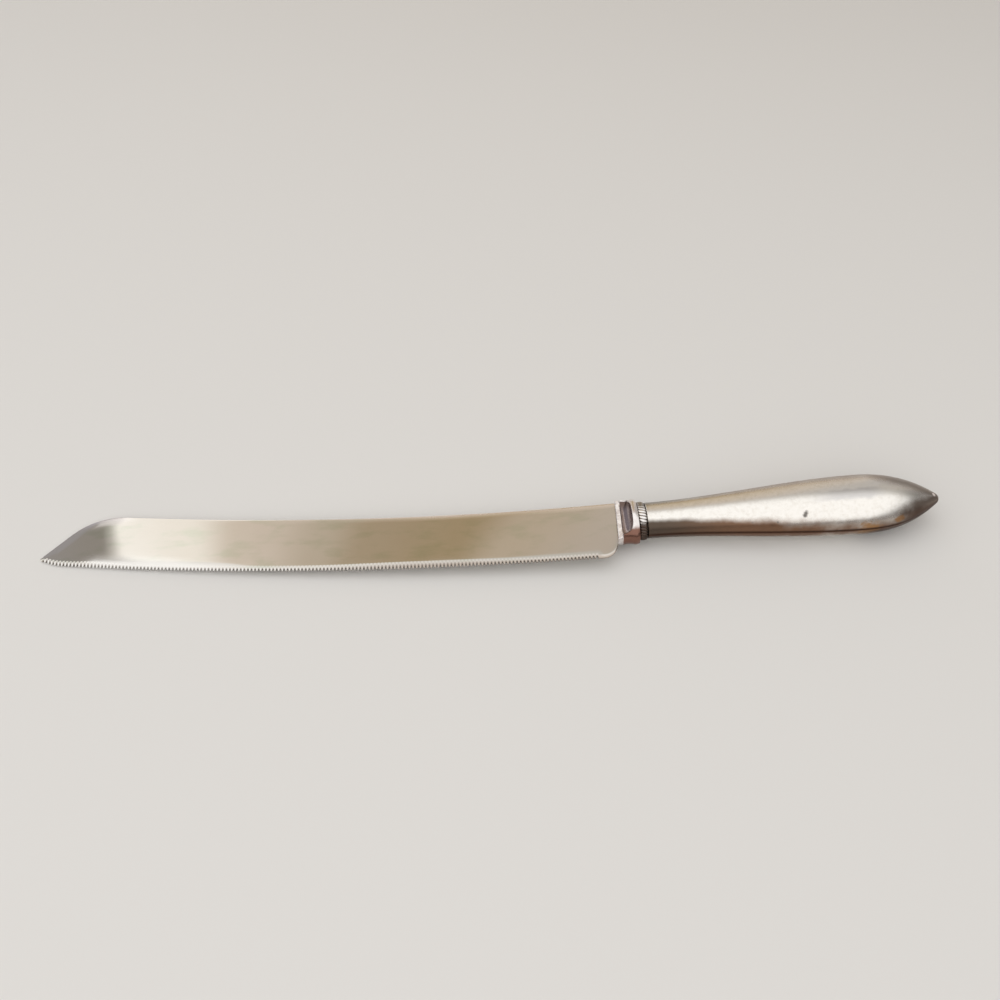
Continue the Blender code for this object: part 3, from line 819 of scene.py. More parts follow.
def waisted_half_width(x):
    """Half the bolster's width, which is drawn in a little beside the dish."""
    share = min(max((x - BAR_LENGTH) / (COLLAR_FRONT_X - BAR_LENGTH), 0), 1)
    return BOLSTER_HALF_WIDTH - WAIST * math.sin(math.pi * share)


def cheek_section(x):
    """An oval section through the bar or the dish."""
    section = []
    for angle in round_angles:
        y = waisted_half_width(x) * math.cos(angle)
        oval = BOLSTER_HALF_THICKNESS * abs(math.sin(angle))
        section.append(Vector((x, y, math.copysign(soft_lower(oval, cheek_height(x, y)), math.sin(angle)))))
    return section


def collar_section(x, drop):
    """A plain oval section, a little smaller than the whole bolster."""
    half_width = BOLSTER_HALF_WIDTH - drop
    half_thickness = BOLSTER_HALF_THICKNESS - drop
    return [Vector((x, half_width * math.cos(a), half_thickness * math.sin(a))) for a in round_angles]


def slot_section(x):
    """The flat slot that the tang passes through."""
    corner = math.sqrt(2)
    half_width = TANG_HALF_WIDTH + TANG_ROOM
    half_thickness = TANG_HALF_THICKNESS + TANG_ROOM
    return [Vector((x, half_width * min(max(corner * math.cos(a), -1), 1),
                    half_thickness * min(max(corner * math.sin(a), -1), 1))) for a in round_angles]


def outer_sections():
    """Bar, dish and collar, from front to rear."""
    bar = [BAR_CORNER * share for share in CORNER_SHARES] + between(BAR_CORNER, BAR_LENGTH, BAR_STEPS)
    step = between(BAR_LENGTH, DISH_START_X, LIP_STEPS)[1:]
    quarter = between(0, math.pi / 2, DISH_STEPS)[1:]
    dish = [DISH_START_X + (COLLAR_FRONT_X - DISH_START_X) * math.sin(a) for a in quarter]
    sections = [cheek_section(x) for x in bar + step + dish]
    for share in between(0, 1, COLLAR_STEPS)[1:]:
        x = COLLAR_FRONT_X + (BOLSTER_LENGTH - COLLAR_RIM - COLLAR_FRONT_X) * share
        sections.append(collar_section(x, COLLAR_CROWN * ((2 * share - 1) ** 2 - 1)))
    for angle in between(0, math.pi / 2, RIM_STEPS)[1:]:
        x = BOLSTER_LENGTH - COLLAR_RIM * (1 - math.sin(angle))
        sections.append(collar_section(x, COLLAR_RIM * (1 - math.cos(angle))))
    return sections


bolster_sections = outer_sections() + [slot_section(BOLSTER_LENGTH), slot_section(0)]
print(len(bolster_sections), "sections of", ROUND_POINTS, "points")

# %% Make the bolster
# How deep in the dish, and how far round the flank, the painted reflection and shade reach
DISH_PAINT_DEPTH = 0.0010
FLANK_START = 0.58
FLANK_END = 0.82


def sweep_sections(bm, sections):
    """Extrude a ring of points from section to section and back to the first one."""
    order = bm.verts.layers.int.new("order")
    ring = bmesh.ops.create_circle(bm, segments=len(sections[0]), radius=1)["verts"]
    for number, vertex in enumerate(ring):
        vertex[order] = number
        vertex.co = sections[0][number]
    edges = bm.edges[:]
    for section in sections[1:] + sections[:1]:
        result = bmesh.ops.extrude_edge_only(bm, edges=edges)
        ring = set(made_points(result))
        made_edges = [part for part in result["geom"] if isinstance(part, bmesh.types.BMEdge)]
        edges = [edge for edge in made_edges if ring.issuperset(edge.verts)]
        for vertex in ring:
            vertex.co = section[vertex[order]]
    bmesh.ops.remove_doubles(bm, verts=bm.verts, dist=MERGE_DISTANCE)
    bmesh.ops.recalc_face_normals(bm, faces=bm.faces)


def paint_bolster(bm):
    """Store on each point how far it lies down in the dish, and how far round on the front flank."""
    dish = bm.verts.layers.float.new("dish")
    flank = bm.verts.layers.float.new("flank")
    for vertex in bm.verts:
        across = vertex.co.y / waisted_half_width(vertex.co.x)
        below_oval = BOLSTER_HALF_THICKNESS * math.sqrt(max(1 - across ** 2, 0)) - abs(vertex.co.z)
        behind_bar = ease((vertex.co.x - BAR_LENGTH) / (DISH_START_X - BAR_LENGTH))
        # The dish and flank shares place the painted reflection and shade of the bolster's finish
        vertex[dish] = behind_bar * ease(below_oval / DISH_PAINT_DEPTH)
        vertex[flank] = behind_bar * ease((-across - FLANK_START) / (FLANK_END - FLANK_START))


def lean_front(bm):
    """Turn the front to the blade's angle and leave the rear square to the handle."""
    for vertex in bm.verts:
        vertex.co.x += vertex.co.y * BLADE_LEAN * (1 - vertex.co.x / BOLSTER_LENGTH)


bolster_mesh = bmesh.new()
sweep_sections(bolster_mesh, bolster_sections)
paint_bolster(bolster_mesh)
lean_front(bolster_mesh)
finish_piece(bolster_mesh, "waisted_bolster", "bolster", bolster_steel, 40)

# %% [markdown]
# ## Silver plate
# The handle is pressed from thin base metal and silver plated. Decades of polishing have left it
# bright where the hand rubs it, clouded towards the butt and worn through to the brass in two places, and
# fine scratches run everywhere. Along the seams, over the neck and on the butt it is painted brown, which
# is partly tarnish and partly a painted reflection of a dark surround. The seam itself is dark with dirt,
# the underside of the butt and the front of the nose are painted dark as painted shade, and a fleck at the
# end of the butt is a painted glint. The share of the brown comes from how far round the oval a place lies:
# none on the crown, most at the seam.

# %% Find the way round the oval
HANDLE_FLATNESS = 0.75


def round_the_oval(finish, places):
    """How far round the oval a place lies (-1 back, 0 crown, 1 front), its X, and its Z off the seam."""
    parts = add_node(finish, "ShaderNodeSeparateXYZ", {"Vector": places}).outputs
    tall = sums(finish, "DIVIDE", parts["Z"], HANDLE_FLATNESS)
    squares = plus(finish, times(finish, parts["Y"], parts["Y"]), times(finish, tall, tall))
    reach = sums(finish, "POWER", squares, 0.5)
    front = sums(finish, "DIVIDE", times(finish, parts["Y"], -1.0), reach)
    return front, parts["X"], parts["Z"]


def beyond(finish, first, second):
    """How far the first value lies beyond the second, and 0 where it doesn't."""
    return larger(finish, sums(finish, "SUBTRACT", first, second), 0.0)


print("the handle's oval is", HANDLE_FLATNESS, "times as tall as it is wide")

# %% Place the tarnish, the dirt and the painted reflection and shade
NECK_DARK_END = 0.072
NECK_BACK_END = 0.028
BELLY_END = 0.088
# How fast the tarnish and painted reflection spread round the oval, as a share per metre beyond those places
NECK_SPREAD, BACK_SPREAD, BELLY_SPREAD = 6.4, 8.0, 35.0
# Places along the handle where a change starts and where it is complete
BUTT_DARK = (0.110, 0.121)
UNDER_BUTT = (0.080, 0.092)
NOSE = (0.094, 0.104)
BUTT_SLANT = 0.022
BUTT_RAGGEDNESS = 0.05
# The same round the oval, from -1 at the back seam to 1 at the front seam
FRONT_SEAM = (0.78, 1.06)
BACK_SEAM = (-0.25, -0.80)
NOSE_FRONT = (0.70, 0.98)
# The same above or below the seam
SEAM_DIRT_REACH = (0.0011, 0.0002)
BELOW_SEAM = (-0.0003, -0.0014)


def tarnish_and_reflection_share(finish, around, along, wander):
    """Share of brown, partly real patina and partly painted reflection: most at both seams, spreading over
    the neck, past the belly and on the butt.
    """
    # Tarnish and painted reflection: brown at both seams, over the neck, past the belly and on the butt
    over_neck = times(finish, beyond(finish, NECK_DARK_END, along), NECK_SPREAD)
    front_seam = fade(finish, plus(finish, around, over_neck), *FRONT_SEAM)
    past_belly = times(finish, beyond(finish, along, BELLY_END), BELLY_SPREAD)
    behind_neck = times(finish, beyond(finish, NECK_BACK_END, along), BACK_SPREAD)
    towards_butt = sums(finish, "SUBTRACT", around, past_belly)
    towards_back = sums(finish, "SUBTRACT", towards_butt, behind_neck)
    back_seam = fade(finish, towards_back, *BACK_SEAM, 0.0, 0.75)
    slanting = plus(finish, along, times(finish, around, BUTT_SLANT))
    ragged = plus(finish, slanting, times(finish, wander, BUTT_RAGGEDNESS))
    on_butt = fade(finish, ragged, *BUTT_DARK, 0.0, 0.85)
    return larger(finish, larger(finish, front_seam, back_seam), on_butt)


def dirt_and_shade_share(finish, around, along, level):
    """Share of the dark: a soiled seam, and painted shade under the butt and on the front of the nose."""
    on_seam = fade(finish, sums(finish, "ABSOLUTE", level), *SEAM_DIRT_REACH, 0.0, 0.8)
    # Painted shade: dark under the butt and on the front of the nose
    under_butt = times(finish, fade(finish, level, *BELOW_SEAM), fade(finish, along, *UNDER_BUTT))
    nose_front = times(finish, fade(finish, around, *NOSE_FRONT), fade(finish, along, *NOSE))
    under = times(finish, larger(finish, under_butt, nose_front), 0.85)
    return larger(finish, on_seam, under)


print(f"tarnish covers the butt from {BUTT_DARK[0] * 1000:.0f} mm on")

# %% Choose the colours of the plate, the tarnish and the painted reflection
BRIGHT_PLATE, FILMED_PLATE = (0.90, 0.87, 0.82, 1), (0.83, 0.79, 0.73, 1)
GREY_FILM = (0.67, 0.65, 0.635, 1)
# Tarnish and painted reflection: browns that stand partly for a dark surround mirrored in the plate
TARNISH_AND_REFLECTION, PALER_TARNISH_AND_REFLECTION = (0.14, 0.062, 0.028, 1), (0.24, 0.12, 0.06, 1)
NECK_TARNISH_AND_REFLECTION = (0.07, 0.043, 0.025, 1)
BUTT_BROWN = (0.115, 0.064, 0.035, 1)
# Places along the handle where a change starts and where it is complete
GREY_STARTS = (0.063, 0.078)
GREY_ENDS = (0.095, 0.087)
NECK_DARKENS = (0.045, 0.012)
BUTT_DARKENS = (0.086, 0.102)
# The same round the oval
CROWN_STARTS = (-0.06, 0.06)
CROWN_ENDS = (0.42, 0.26)


def plate_colour(finish, around, along, fine_cloud):
    """The plate itself, with a grey film beside the crown of the belly."""
    filmy = mixed(finish, fade(finish, fine_cloud, 0.42, 0.75), BRIGHT_PLATE, FILMED_PLATE)
    on_belly = times(finish, fade(finish, along, *GREY_STARTS), fade(finish, along, *GREY_ENDS))
    near_crown = times(finish, fade(finish, around, *CROWN_STARTS), fade(finish, around, *CROWN_ENDS))
    grey = times(finish, times(finish, on_belly, near_crown), 0.9)
    return mixed(finish, grey, filmy, GREY_FILM)


# The brown of tarnish and painted reflection
def tarnish_and_reflection_colour(finish, along, fine_cloud):
    """Brown, which is darkest at the neck and dark again past the belly."""
    light_brown = mixed(finish, fine_cloud, TARNISH_AND_REFLECTION, PALER_TARNISH_AND_REFLECTION)
    neck_brown = mixed(finish, fade(finish, along, *NECK_DARKENS), light_brown, NECK_TARNISH_AND_REFLECTION)
    return mixed(finish, fade(finish, along, *BUTT_DARKENS), neck_brown, BUTT_BROWN)


print(f"a grey film clouds the belly from {GREY_STARTS[1] * 1000:.0f} to {GREY_ENDS[1] * 1000:.0f} mm")

# %% Mix the silver plate
BRASS, DARKER_BRASS = (0.50, 0.28, 0.12, 1), (0.30, 0.14, 0.04, 1)
# Dirt on the seam, and painted shade under the butt and on the nose
SEAM_DIRT_AND_SHADE = (0.06, 0.026, 0.015, 1)
PIT = (0.19, 0.175, 0.16, 1)
# Painted highlight: a pale glint at the end of the butt
PAINTED_GLINT_COLOUR = (0.98, 0.90, 0.86, 1)
TARNISH_DULLNESS = 0.12
FLECK_DULLNESS = 0.3


def silver_plate_finish():
    finish, shader = new_finish("silver_plate", 1.0)
    places = knife_places(finish)
    front, along, level = round_the_oval(finish, places)
    cloud = clouds(finish, places, 130, detail=6, roughness=0.6)
    fine_cloud = clouds(finish, places, 620, detail=5, roughness=0.65)
    wander = fade(finish, cloud, 0.25, 0.75, -0.05, 0.05)
    around = plus(finish, front, wander)
    # Tarnish and painted reflection: brown on the seams, the neck and the butt
    tarnish_and_reflection = tarnish_and_reflection_share(finish, around, along, wander)
    plate = plate_colour(finish, around, along, fine_cloud)
    browned_plate = mixed(finish, times(finish, tarnish_and_reflection, 0.95), plate, tarnish_and_reflection_colour(finish, along, fine_cloud))
    brass = mixed(finish, fine_cloud, BRASS, DARKER_BRASS)
    ragged = plus(finish, painted(finish, "worn"), fade(finish, fine_cloud, 0.2, 0.8, -0.3, 0.3))
    worn_through = mixed(finish, fade(finish, ragged, 0.35, 0.80, 0.0, 0.8), browned_plate, brass)
    # Dirt on the seam, and painted shade under the butt and on the nose
    dirty_and_shaded = mixed(finish, dirt_and_shade_share(finish, around, along, level), worn_through, SEAM_DIRT_AND_SHADE)
    dents = fade(finish, painted(finish, "pit"), 0.15, 0.75)
    pits = larger(finish, dents, specks(finish, places, 240, size=0.11, share=0.05))
    # Painted highlight: a glint at the end of the butt
    painted_glint = fade(finish, painted(finish, "painted_sheen"), 0.25, 0.65)
    colour = mixed(finish, painted_glint, mixed(finish, pits, dirty_and_shaded, PIT), PAINTED_GLINT_COLOUR)
    dull = fade(finish, fine_cloud, 0.3, 0.75, 0.20, 0.27)
    worked = plus(finish, times(finish, tarnish_and_reflection, TARNISH_DULLNESS), times(finish, painted_glint, FLECK_DULLNESS))
    scratches = clouds(finish, stretched(finish, places, (180, 4200, 4200)), 1, detail=3)
    relief = plus(finish, scratches, fine_cloud)
    use_patterns(finish, shader, colour, plus(finish, dull, worked), relief, 0.00003, 0.03)
    return finish


silver_plate = silver_plate_finish()
tell(silver_plate)

# %% [markdown]
# ## The handle's outline
# The handle is a slim oval neck that swells slowly to a belly near the far end and closes in a pointed
# arch with a small round nose. The neck follows an eased curve, the arch a power curve and the nose a
# ball, so the outline needs only its few real measures. Its mouth is rolled inwards, which gives the
# front of the handle a soft lip.

# %% Write the handle's outline
BELLY_X = 0.0853
NECK_HALF_WIDTH = 0.0067
BELLY_HALF_WIDTH = 0.01135
ARCH_END_X = 0.1159
ARCH_POWER = 2.3
NOSE_START_X = 0.1136
LIP_ROUND = 0.0004
LIP_START = math.radians(-40)
LIP_POINTS, NECK_POINTS, ARCH_POINTS, NOSE_POINTS = 9, 130, 70, 14


def half_width(x):
    """Half the handle's width along the neck and the arch."""
    if x <= BELLY_X:
        swelling = ease((x - MOUTH_X) / (BELLY_X - MOUTH_X))
        return NECK_HALF_WIDTH + (BELLY_HALF_WIDTH - NECK_HALF_WIDTH) * swelling
    return BELLY_HALF_WIDTH * (1 - ((x - BELLY_X) / (ARCH_END_X - BELLY_X)) ** ARCH_POWER)


def nose_points():
    """A ball at the end, which meets the arch without a corner."""
    arch_length = ARCH_END_X - BELLY_X
    share = (NOSE_START_X - BELLY_X) / arch_length
    steepness = BELLY_HALF_WIDTH * ARCH_POWER / arch_length * share ** (ARCH_POWER - 1)
    start_width = half_width(NOSE_START_X)
    centre_x = NOSE_START_X - start_width * steepness
    radius = start_width * math.hypot(1, steepness)
    angles = between(math.atan(steepness), math.pi / 2, NOSE_POINTS)[1:]
    return [(centre_x + radius * math.sin(a), radius * math.cos(a)) for a in angles]


def handle_outline():
    """Places along the handle and its half width there, from the rolled lip to the end of the nose."""
    lip = [(MOUTH_X + LIP_ROUND * (1 - math.cos(a)), NECK_HALF_WIDTH - LIP_ROUND * (1 - math.sin(a)))
           for a in between(LIP_START, math.pi / 2, LIP_POINTS)[:-1]]
    neck = between(MOUTH_X + LIP_ROUND, BELLY_X, NECK_POINTS)
    turns = between(0, math.pi / 2, ARCH_POINTS)[1:]
    arch = [BELLY_X + (NOSE_START_X - BELLY_X) * math.sin(turn) for turn in turns]
    return lip + [(x, half_width(x)) for x in neck + arch] + nose_points()


outline = handle_outline()
print(len(outline), "points along the handle, widest", round(2000 * max(w for _, w in outline), 1), "mm")

# %% [markdown]
# ## The two pressed halves
# A hollow handle is stamped as two halves and soldered along its sides. Each half is the outline turned
# through half a circle, flattened to an oval, and given the thickness of the sheet. Sheet this thin is
# never quite even, so the surface gets a faint waviness, and small nicks are pressed into it where the
# real one has taken knocks. Perfect ovals would look like plastic: the wavering edge of the highlight is
# what shows thin silver.

# %% Make the handle's halves
SHELL_WALL = 0.0007
SHELL_LIFT = 0.0004
SEAM_HALF_GAP = 0.00011
TURN_STEPS = 96
WAVE_HEIGHT = 0.000022
WAVES_PER_METRE = 75
WORN_PLACES = (
    (Vector((0.0866, -0.0113, -0.0004)), 0.0049),
    (Vector((0.0974, -0.0095, 0.0024)), 0.0021),
)
# Painted highlight: where the glint at the end of the butt is painted
GLINT_SPOT = (Vector((0.1122, -0.0002, 0.0022)), 0.0008)
NICKS = (
    (Vector((0.0647, -0.0063, 0.0062)), 0.0006, 0.00008),
    (Vector((0.0644, -0.0069, 0.0059)), 0.0008, 0.00012),
    (Vector((0.0640, -0.0075, 0.0055)), 0.0008, 0.00012),
    (Vector((0.0462, -0.0073, 0.0037)), 0.0004, 0.00006),
    (Vector((0.0547, -0.0082, 0.0038)), 0.0004, 0.00006),
)


def draw_line(bm, path):
    """Draw a line from point to point."""
    end = bm.verts.new((*path[0], 0))
    for x, y in path[1:]:
        end = bmesh.ops.extrude_vert_indiv(bm, verts=[end])["verts"][0]
        end.co = (x, y, 0)


def turn_half_outline(bm, side):
    """Draw the outline and turn it through half a circle."""
    draw_line(bm, outline)
    drawn = bm.verts[:] + bm.edges[:]
    bmesh.ops.spin(bm, geom=drawn, cent=(0, 0, 0), axis=(1, 0, 0), angle=side * math.pi, steps=TURN_STEPS)
    bmesh.ops.remove_doubles(bm, verts=bm.verts, dist=TINY)


def flatten_half(bm, side):
    """Make the half circle half an oval, and keep a hair's breadth open for the solder."""
    for vertex in bm.verts:
        radius = math.hypot(vertex.co.y, vertex.co.z)
        lift = SHELL_LIFT * min(1, radius / NECK_HALF_WIDTH)
        rise = HANDLE_FLATNESS + (lift / radius if radius > TINY else 0)
        vertex.co.z = vertex.co.z * rise + side * SEAM_HALF_GAP * (1 - abs(vertex.co.z) / BELLY_HALF_WIDTH)


def closeness(place, centre, radius):
    """1 at the centre of a spot, falling off softly round it."""
    return math.exp(-((place - centre).length / radius) ** 2)


def age_sheet(bm):
    """Faint waves and nicks in the sheet, where the plate is pitted or worn through, and where a glint is
    painted.
    """
    pit = bm.verts.layers.float.new("pit")
    worn = bm.verts.layers.float.new("worn")
    painted_sheen = bm.verts.layers.float.new("painted_sheen")
    bm.normal_update()
    for vertex in bm.verts:
        place = vertex.co.copy()
        depth = WAVE_HEIGHT * noise.noise(place * WAVES_PER_METRE)
        for centre, radius, dent in NICKS:
            depth -= dent * closeness(place, centre, radius)
            vertex[pit] = max(vertex[pit], closeness(place, centre, radius))
        for centre, radius in WORN_PLACES:
            vertex[worn] = max(vertex[worn], closeness(place, centre, radius))
        # Painted highlight: the place of the glint at the end of the butt
        vertex[painted_sheen] = closeness(place, *GLINT_SPOT)
        if abs(place.z) > 2 * SEAM_HALF_GAP:
            vertex.co += vertex.normal * depth


def pressed_half(name, node, side):
    """One half of the handle."""
    bm = bmesh.new()
    turn_half_outline(bm, side)
    flatten_half(bm, side)
    bmesh.ops.recalc_face_normals(bm, faces=bm.faces)
    if sum(face.normal.z for face in bm.faces) * side < 0:
        bmesh.ops.reverse_faces(bm, faces=bm.faces)
    age_sheet(bm)
    half = finish_piece(bm, name, node, silver_plate)
    wall = half.modifiers.new("sheet", "SOLIDIFY")
    wall.thickness = SHELL_WALL
    wall.offset = -1


pressed_half("upper_half", "handle_shell_upper", 1)
pressed_half("lower_half", "handle_shell_lower", -1)

# %% [markdown]
# ## The solder line
# Where the halves meet, a bead of solder was filed almost flush. Dirt has turned it into a thin dark line
# along the handle. A chain of points follows the outline from mouth to mouth round the nose, stands a few
# hundredths of a millimetre proud of the halves, and is extruded inwards and then up into a ribbon.

# %% Mix the solder
SOLDER_BROWN, DARKER_SOLDER = (0.12, 0.06, 0.035, 1), (0.07, 0.03, 0.018, 1)


def solder_finish():
    finish, shader = new_finish("solder", 1.0)
    film = clouds(finish, knife_places(finish), 700, detail=4)
    colour = mixed(finish, fade(finish, film, 0.3, 0.7), SOLDER_BROWN, DARKER_SOLDER)
    use_patterns(finish, shader, colour, fade(finish, film, 0.3, 0.7, 0.25, 0.42), film, 0.00003, 0.2)
    return finish


solder = solder_finish()
tell(solder)

# %% Make the solder line
SOLDER_PROUD = 0.00005
SOLDER_DEPTH = 0.0006
SOLDER_LEAST_WIDTH = 0.0004


def solder_ribbon(bm):
    """A flat ribbon along the outline, from one side of the mouth round the nose to the other."""
    behind_lip = [(x, width) for x, width in outline if x > MOUTH_X + LIP_ROUND]
    near_side = [(x, width + SOLDER_PROUD) for x, width in behind_lip if width > SOLDER_LEAST_WIDTH]
    draw_line(bm, near_side + [(x, -width) for x, width in reversed(near_side)])
    for vertex in made_points(bmesh.ops.extrude_edge_only(bm, edges=bm.edges[:])):
        inwards = Vector((min(BELLY_X - vertex.co.x, 0), -vertex.co.y, 0))
        vertex.co += inwards.normalized() * SOLDER_DEPTH
    for vertex in made_points(bmesh.ops.extrude_face_region(bm, geom=bm.faces[:])):
        vertex.co.z = SOLDER_THICKNESS
    bmesh.ops.translate(bm, verts=bm.verts, vec=(0, 0, -SOLDER_THICKNESS / 2))
    bmesh.ops.recalc_face_normals(bm, faces=bm.faces)


solder_mesh = bmesh.new()
solder_ribbon(solder_mesh)
finish_piece(solder_mesh, "solder_line", "seam_solder", solder)

# %% [markdown]
# ## The twisted ring
# Between the collar and the handle's mouth sits a narrow ring that looks like a twisted cord. It is a
# small blunt section turned round the axis, and its surface is then pinched along slanting grooves: the
# groove's place depends both on the way round the knife and on the way round the section, which makes it
# a spiral. Its grooves hold black tarnish, so each point also stores how deep in a groove it lies.

# %% Mix the ring's silver
BRIGHT_RING, FILMED_RING = (0.97, 0.95, 0.93, 1), (0.86, 0.82, 0.79, 1)
# Painted reflection: the ring's front and back flanks are painted dark brown
RING_BROWN = (0.075, 0.052, 0.04, 1)
GROOVE_TARNISH = (0.12, 0.10, 0.09, 1)
# Places round the oval where the painted reflection starts and where it is complete
FRONT_BROWNS = (0.44, 0.72)
BACK_BROWNS = (0.0, -0.5)


def ring_silver_finish():
    finish, shader = new_finish("ring_silver", 1.0)
    places = knife_places(finish)
    film = clouds(finish, places, 900, detail=4)
    front, _, _ = round_the_oval(finish, places)
    around = plus(finish, front, fade(finish, film, 0.3, 0.7, -0.08, 0.08))
    silver = mixed(finish, film, BRIGHT_RING, FILMED_RING)
    # Painted reflection: darker brown on the ring's front and back flanks
    flank = larger(finish, fade(finish, around, *FRONT_BROWNS), fade(finish, around, *BACK_BROWNS, 0.0, 0.6))
    browned = mixed(finish, flank, silver, RING_BROWN)
    depth = plus(finish, painted(finish, "groove"), fade(finish, film, 0.3, 0.7, -0.12, 0.12))
    colour = mixed(finish, fade(finish, depth, 0.30, 0.85), browned, GROOVE_TARNISH)
    use_patterns(finish, shader, colour, fade(finish, film, 0.3, 0.7, 0.16, 0.30), film, 0.00002, 0.15)
    return finish


ring_silver = ring_silver_finish()
tell(ring_silver)

# %% Make the twisted ring
RING_MIDDLE_X = 0.00875
RING_HALF_LENGTH = 0.0014
RING_HALF_WIDTH = 0.0074
RING_HALF_HEIGHT = 0.0011
RING_FLATNESS = 0.757
STRANDS = 36
STEPS_PER_STRAND = 10
SECTION_POINTS = 28
GROOVE_DEPTH = 0.24
GROOVE_NARROWNESS = 1.3
TARNISH_NARROWNESS = 1.5
SQUARENESS = 0.62


def turn_ring(bm):
    """A plain ring: a small round-cornered square turned once round the knife's axis."""
    section = bmesh.ops.create_circle(bm, segments=SECTION_POINTS, radius=1)["verts"]
    for vertex in section:
        x, y, _ = (math.copysign(abs(part) ** SQUARENESS, part) for part in vertex.co)
        vertex.co = (RING_MIDDLE_X + RING_HALF_LENGTH * x, RING_HALF_WIDTH - RING_HALF_HEIGHT * (1 - y), 0)
    drawn = bm.verts[:] + bm.edges[:]
    bmesh.ops.spin(bm, geom=drawn, cent=(0, 0, 0), axis=(1, 0, 0), angle=2 * math.pi,
                   steps=STRANDS * STEPS_PER_STRAND, use_merge=True)


def twist_ring(bm):
    """Pinch slanting grooves into the ring, then flatten it to the handle's oval."""
    groove = bm.verts.layers.float.new("groove")
    core = RING_HALF_WIDTH - RING_HALF_HEIGHT
    for vertex in bm.verts:
        turn = math.atan2(vertex.co.z, vertex.co.y)
        along = vertex.co.x - RING_MIDDLE_X
        lift = math.hypot(vertex.co.y, vertex.co.z) - core
        round_section = math.atan2(lift / RING_HALF_HEIGHT, along / RING_HALF_LENGTH)
        ridge = abs(math.sin(STRANDS * turn / 2 + round_section))
        vertex[groove] = (1 - ridge) ** TARNISH_NARROWNESS
        pinch = 1 - GROOVE_DEPTH * (1 - ridge) ** GROOVE_NARROWNESS
        radius = core + lift * pinch
        vertex.co = (RING_MIDDLE_X + along * pinch, radius * math.cos(turn),
                     radius * math.sin(turn) * RING_FLATNESS)
    bmesh.ops.recalc_face_normals(bm, faces=bm.faces)


ring_mesh = bmesh.new()
turn_ring(ring_mesh)
twist_ring(ring_mesh)
finish_piece(ring_mesh, "twisted_ring", "neck_ring", ring_silver, 60)

# %% [markdown]
# ## The setting compound
# Inside the handle a hard brown compound holds the tang. Its solid is already right, and almost none of
# it can be seen, so it stays and only gets a gritty, dull finish.

# %% Finish the setting compound
DARK_GRIT, PALE_GRIT = (0.30, 0.25, 0.19, 1), (0.42, 0.36, 0.29, 1)


def cement_finish():
    finish, shader = new_finish("cement", 0.0)
    grit = clouds(finish, knife_places(finish), 900, detail=6, roughness=0.7)
    colour = mixed(finish, fade(finish, grit, 0.3, 0.7), DARK_GRIT, PALE_GRIT)
    use_patterns(finish, shader, colour, fade(finish, grit, 0.3, 0.7, 0.82, 0.95), grit, 0.0002, 0.5)
    return finish


cement_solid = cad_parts["handle_cement"]
cement_solid.data.materials.clear()
cement_solid.data.materials.append(cement_finish())
print("finished", cement_solid.name)

# %% [markdown]
# ## The table
# The knife lies on a plain pale table top that runs far past the view on every side, so nothing but soft
# light and its own shadow surrounds it. Far from the knife the lamps no longer reach the table, so for the
# camera alone it fades into the pale surround there, and the horizon stays soft.

# %% Lay the table
TABLE_HALF_SIZE = 4.0
FADE_START = 0.7
FADE_END = 2.4
TABLE_COLOUR = (0.80, 0.785, 0.76, 1)
PALE_SURROUND = (0.86, 0.85, 0.83, 1)


def table_finish():
    finish, shader = new_finish("table", 0.0)
    shader.inputs["Base Color"].default_value = TABLE_COLOUR
    shader.inputs["Roughness"].default_value = 0.9
    shader.inputs["Specular IOR Level"].default_value = 0.1
    places = add_node(finish, "ShaderNodeTexCoord", {}).outputs["Object"]
    distance = add_node(finish, "ShaderNodeVectorMath", {0: places}, operation="LENGTH").outputs["Value"]
    seen = add_node(finish, "ShaderNodeLightPath", {}).outputs["Is Camera Ray"]
    share = times(finish, fade(finish, distance, FADE_START, FADE_END), seen)
    surround = add_node(finish, "ShaderNodeEmission", {"Color": PALE_SURROUND}).outputs["Emission"]
    mix = add_node(finish, "ShaderNodeMixShader", {0: share, 1: shader.outputs["BSDF"], 2: surround})
    surface = finish.node_tree.nodes["Material Output"].inputs["Surface"]
    finish.node_tree.links.new(mix.outputs["Shader"], surface)
    return finish


def stage_sheet(name, finish, half_size):
    """A flat square for the studio, which isn't part of the knife."""
    bm = bmesh.new()
    bmesh.ops.create_grid(bm, x_segments=1, y_segments=1, size=half_size)
    sheet = new_object(bm, name, finish)
    sheet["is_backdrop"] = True
    return sheet


stage_sheet("table", table_finish(), TABLE_HALF_SIZE)
print("table is", 2 * TABLE_HALF_SIZE, "m wide")

# %% [markdown]
# ## The light
# Polished metal shows its surroundings, so its light is really a set of things to reflect. A wide softbox
# overhead makes the long white highlight on the handle, and it fades at its edges as a diffuser does. A
# tall card behind the table is what the flat of the blade mirrors: dark at its left end, then bright like
# a wall beside a window, and falling off to a warm grey at the right. Both are glowing sheets whose glow is
# a ramp of tones along one side. The world adds a little even fill.

# %% Write the glow of a sheet
RAMP_REACH = 1.25
DIMMED = 0.15
# X past the end of every sheet, so that nothing dims
NEVER = (8, 9)


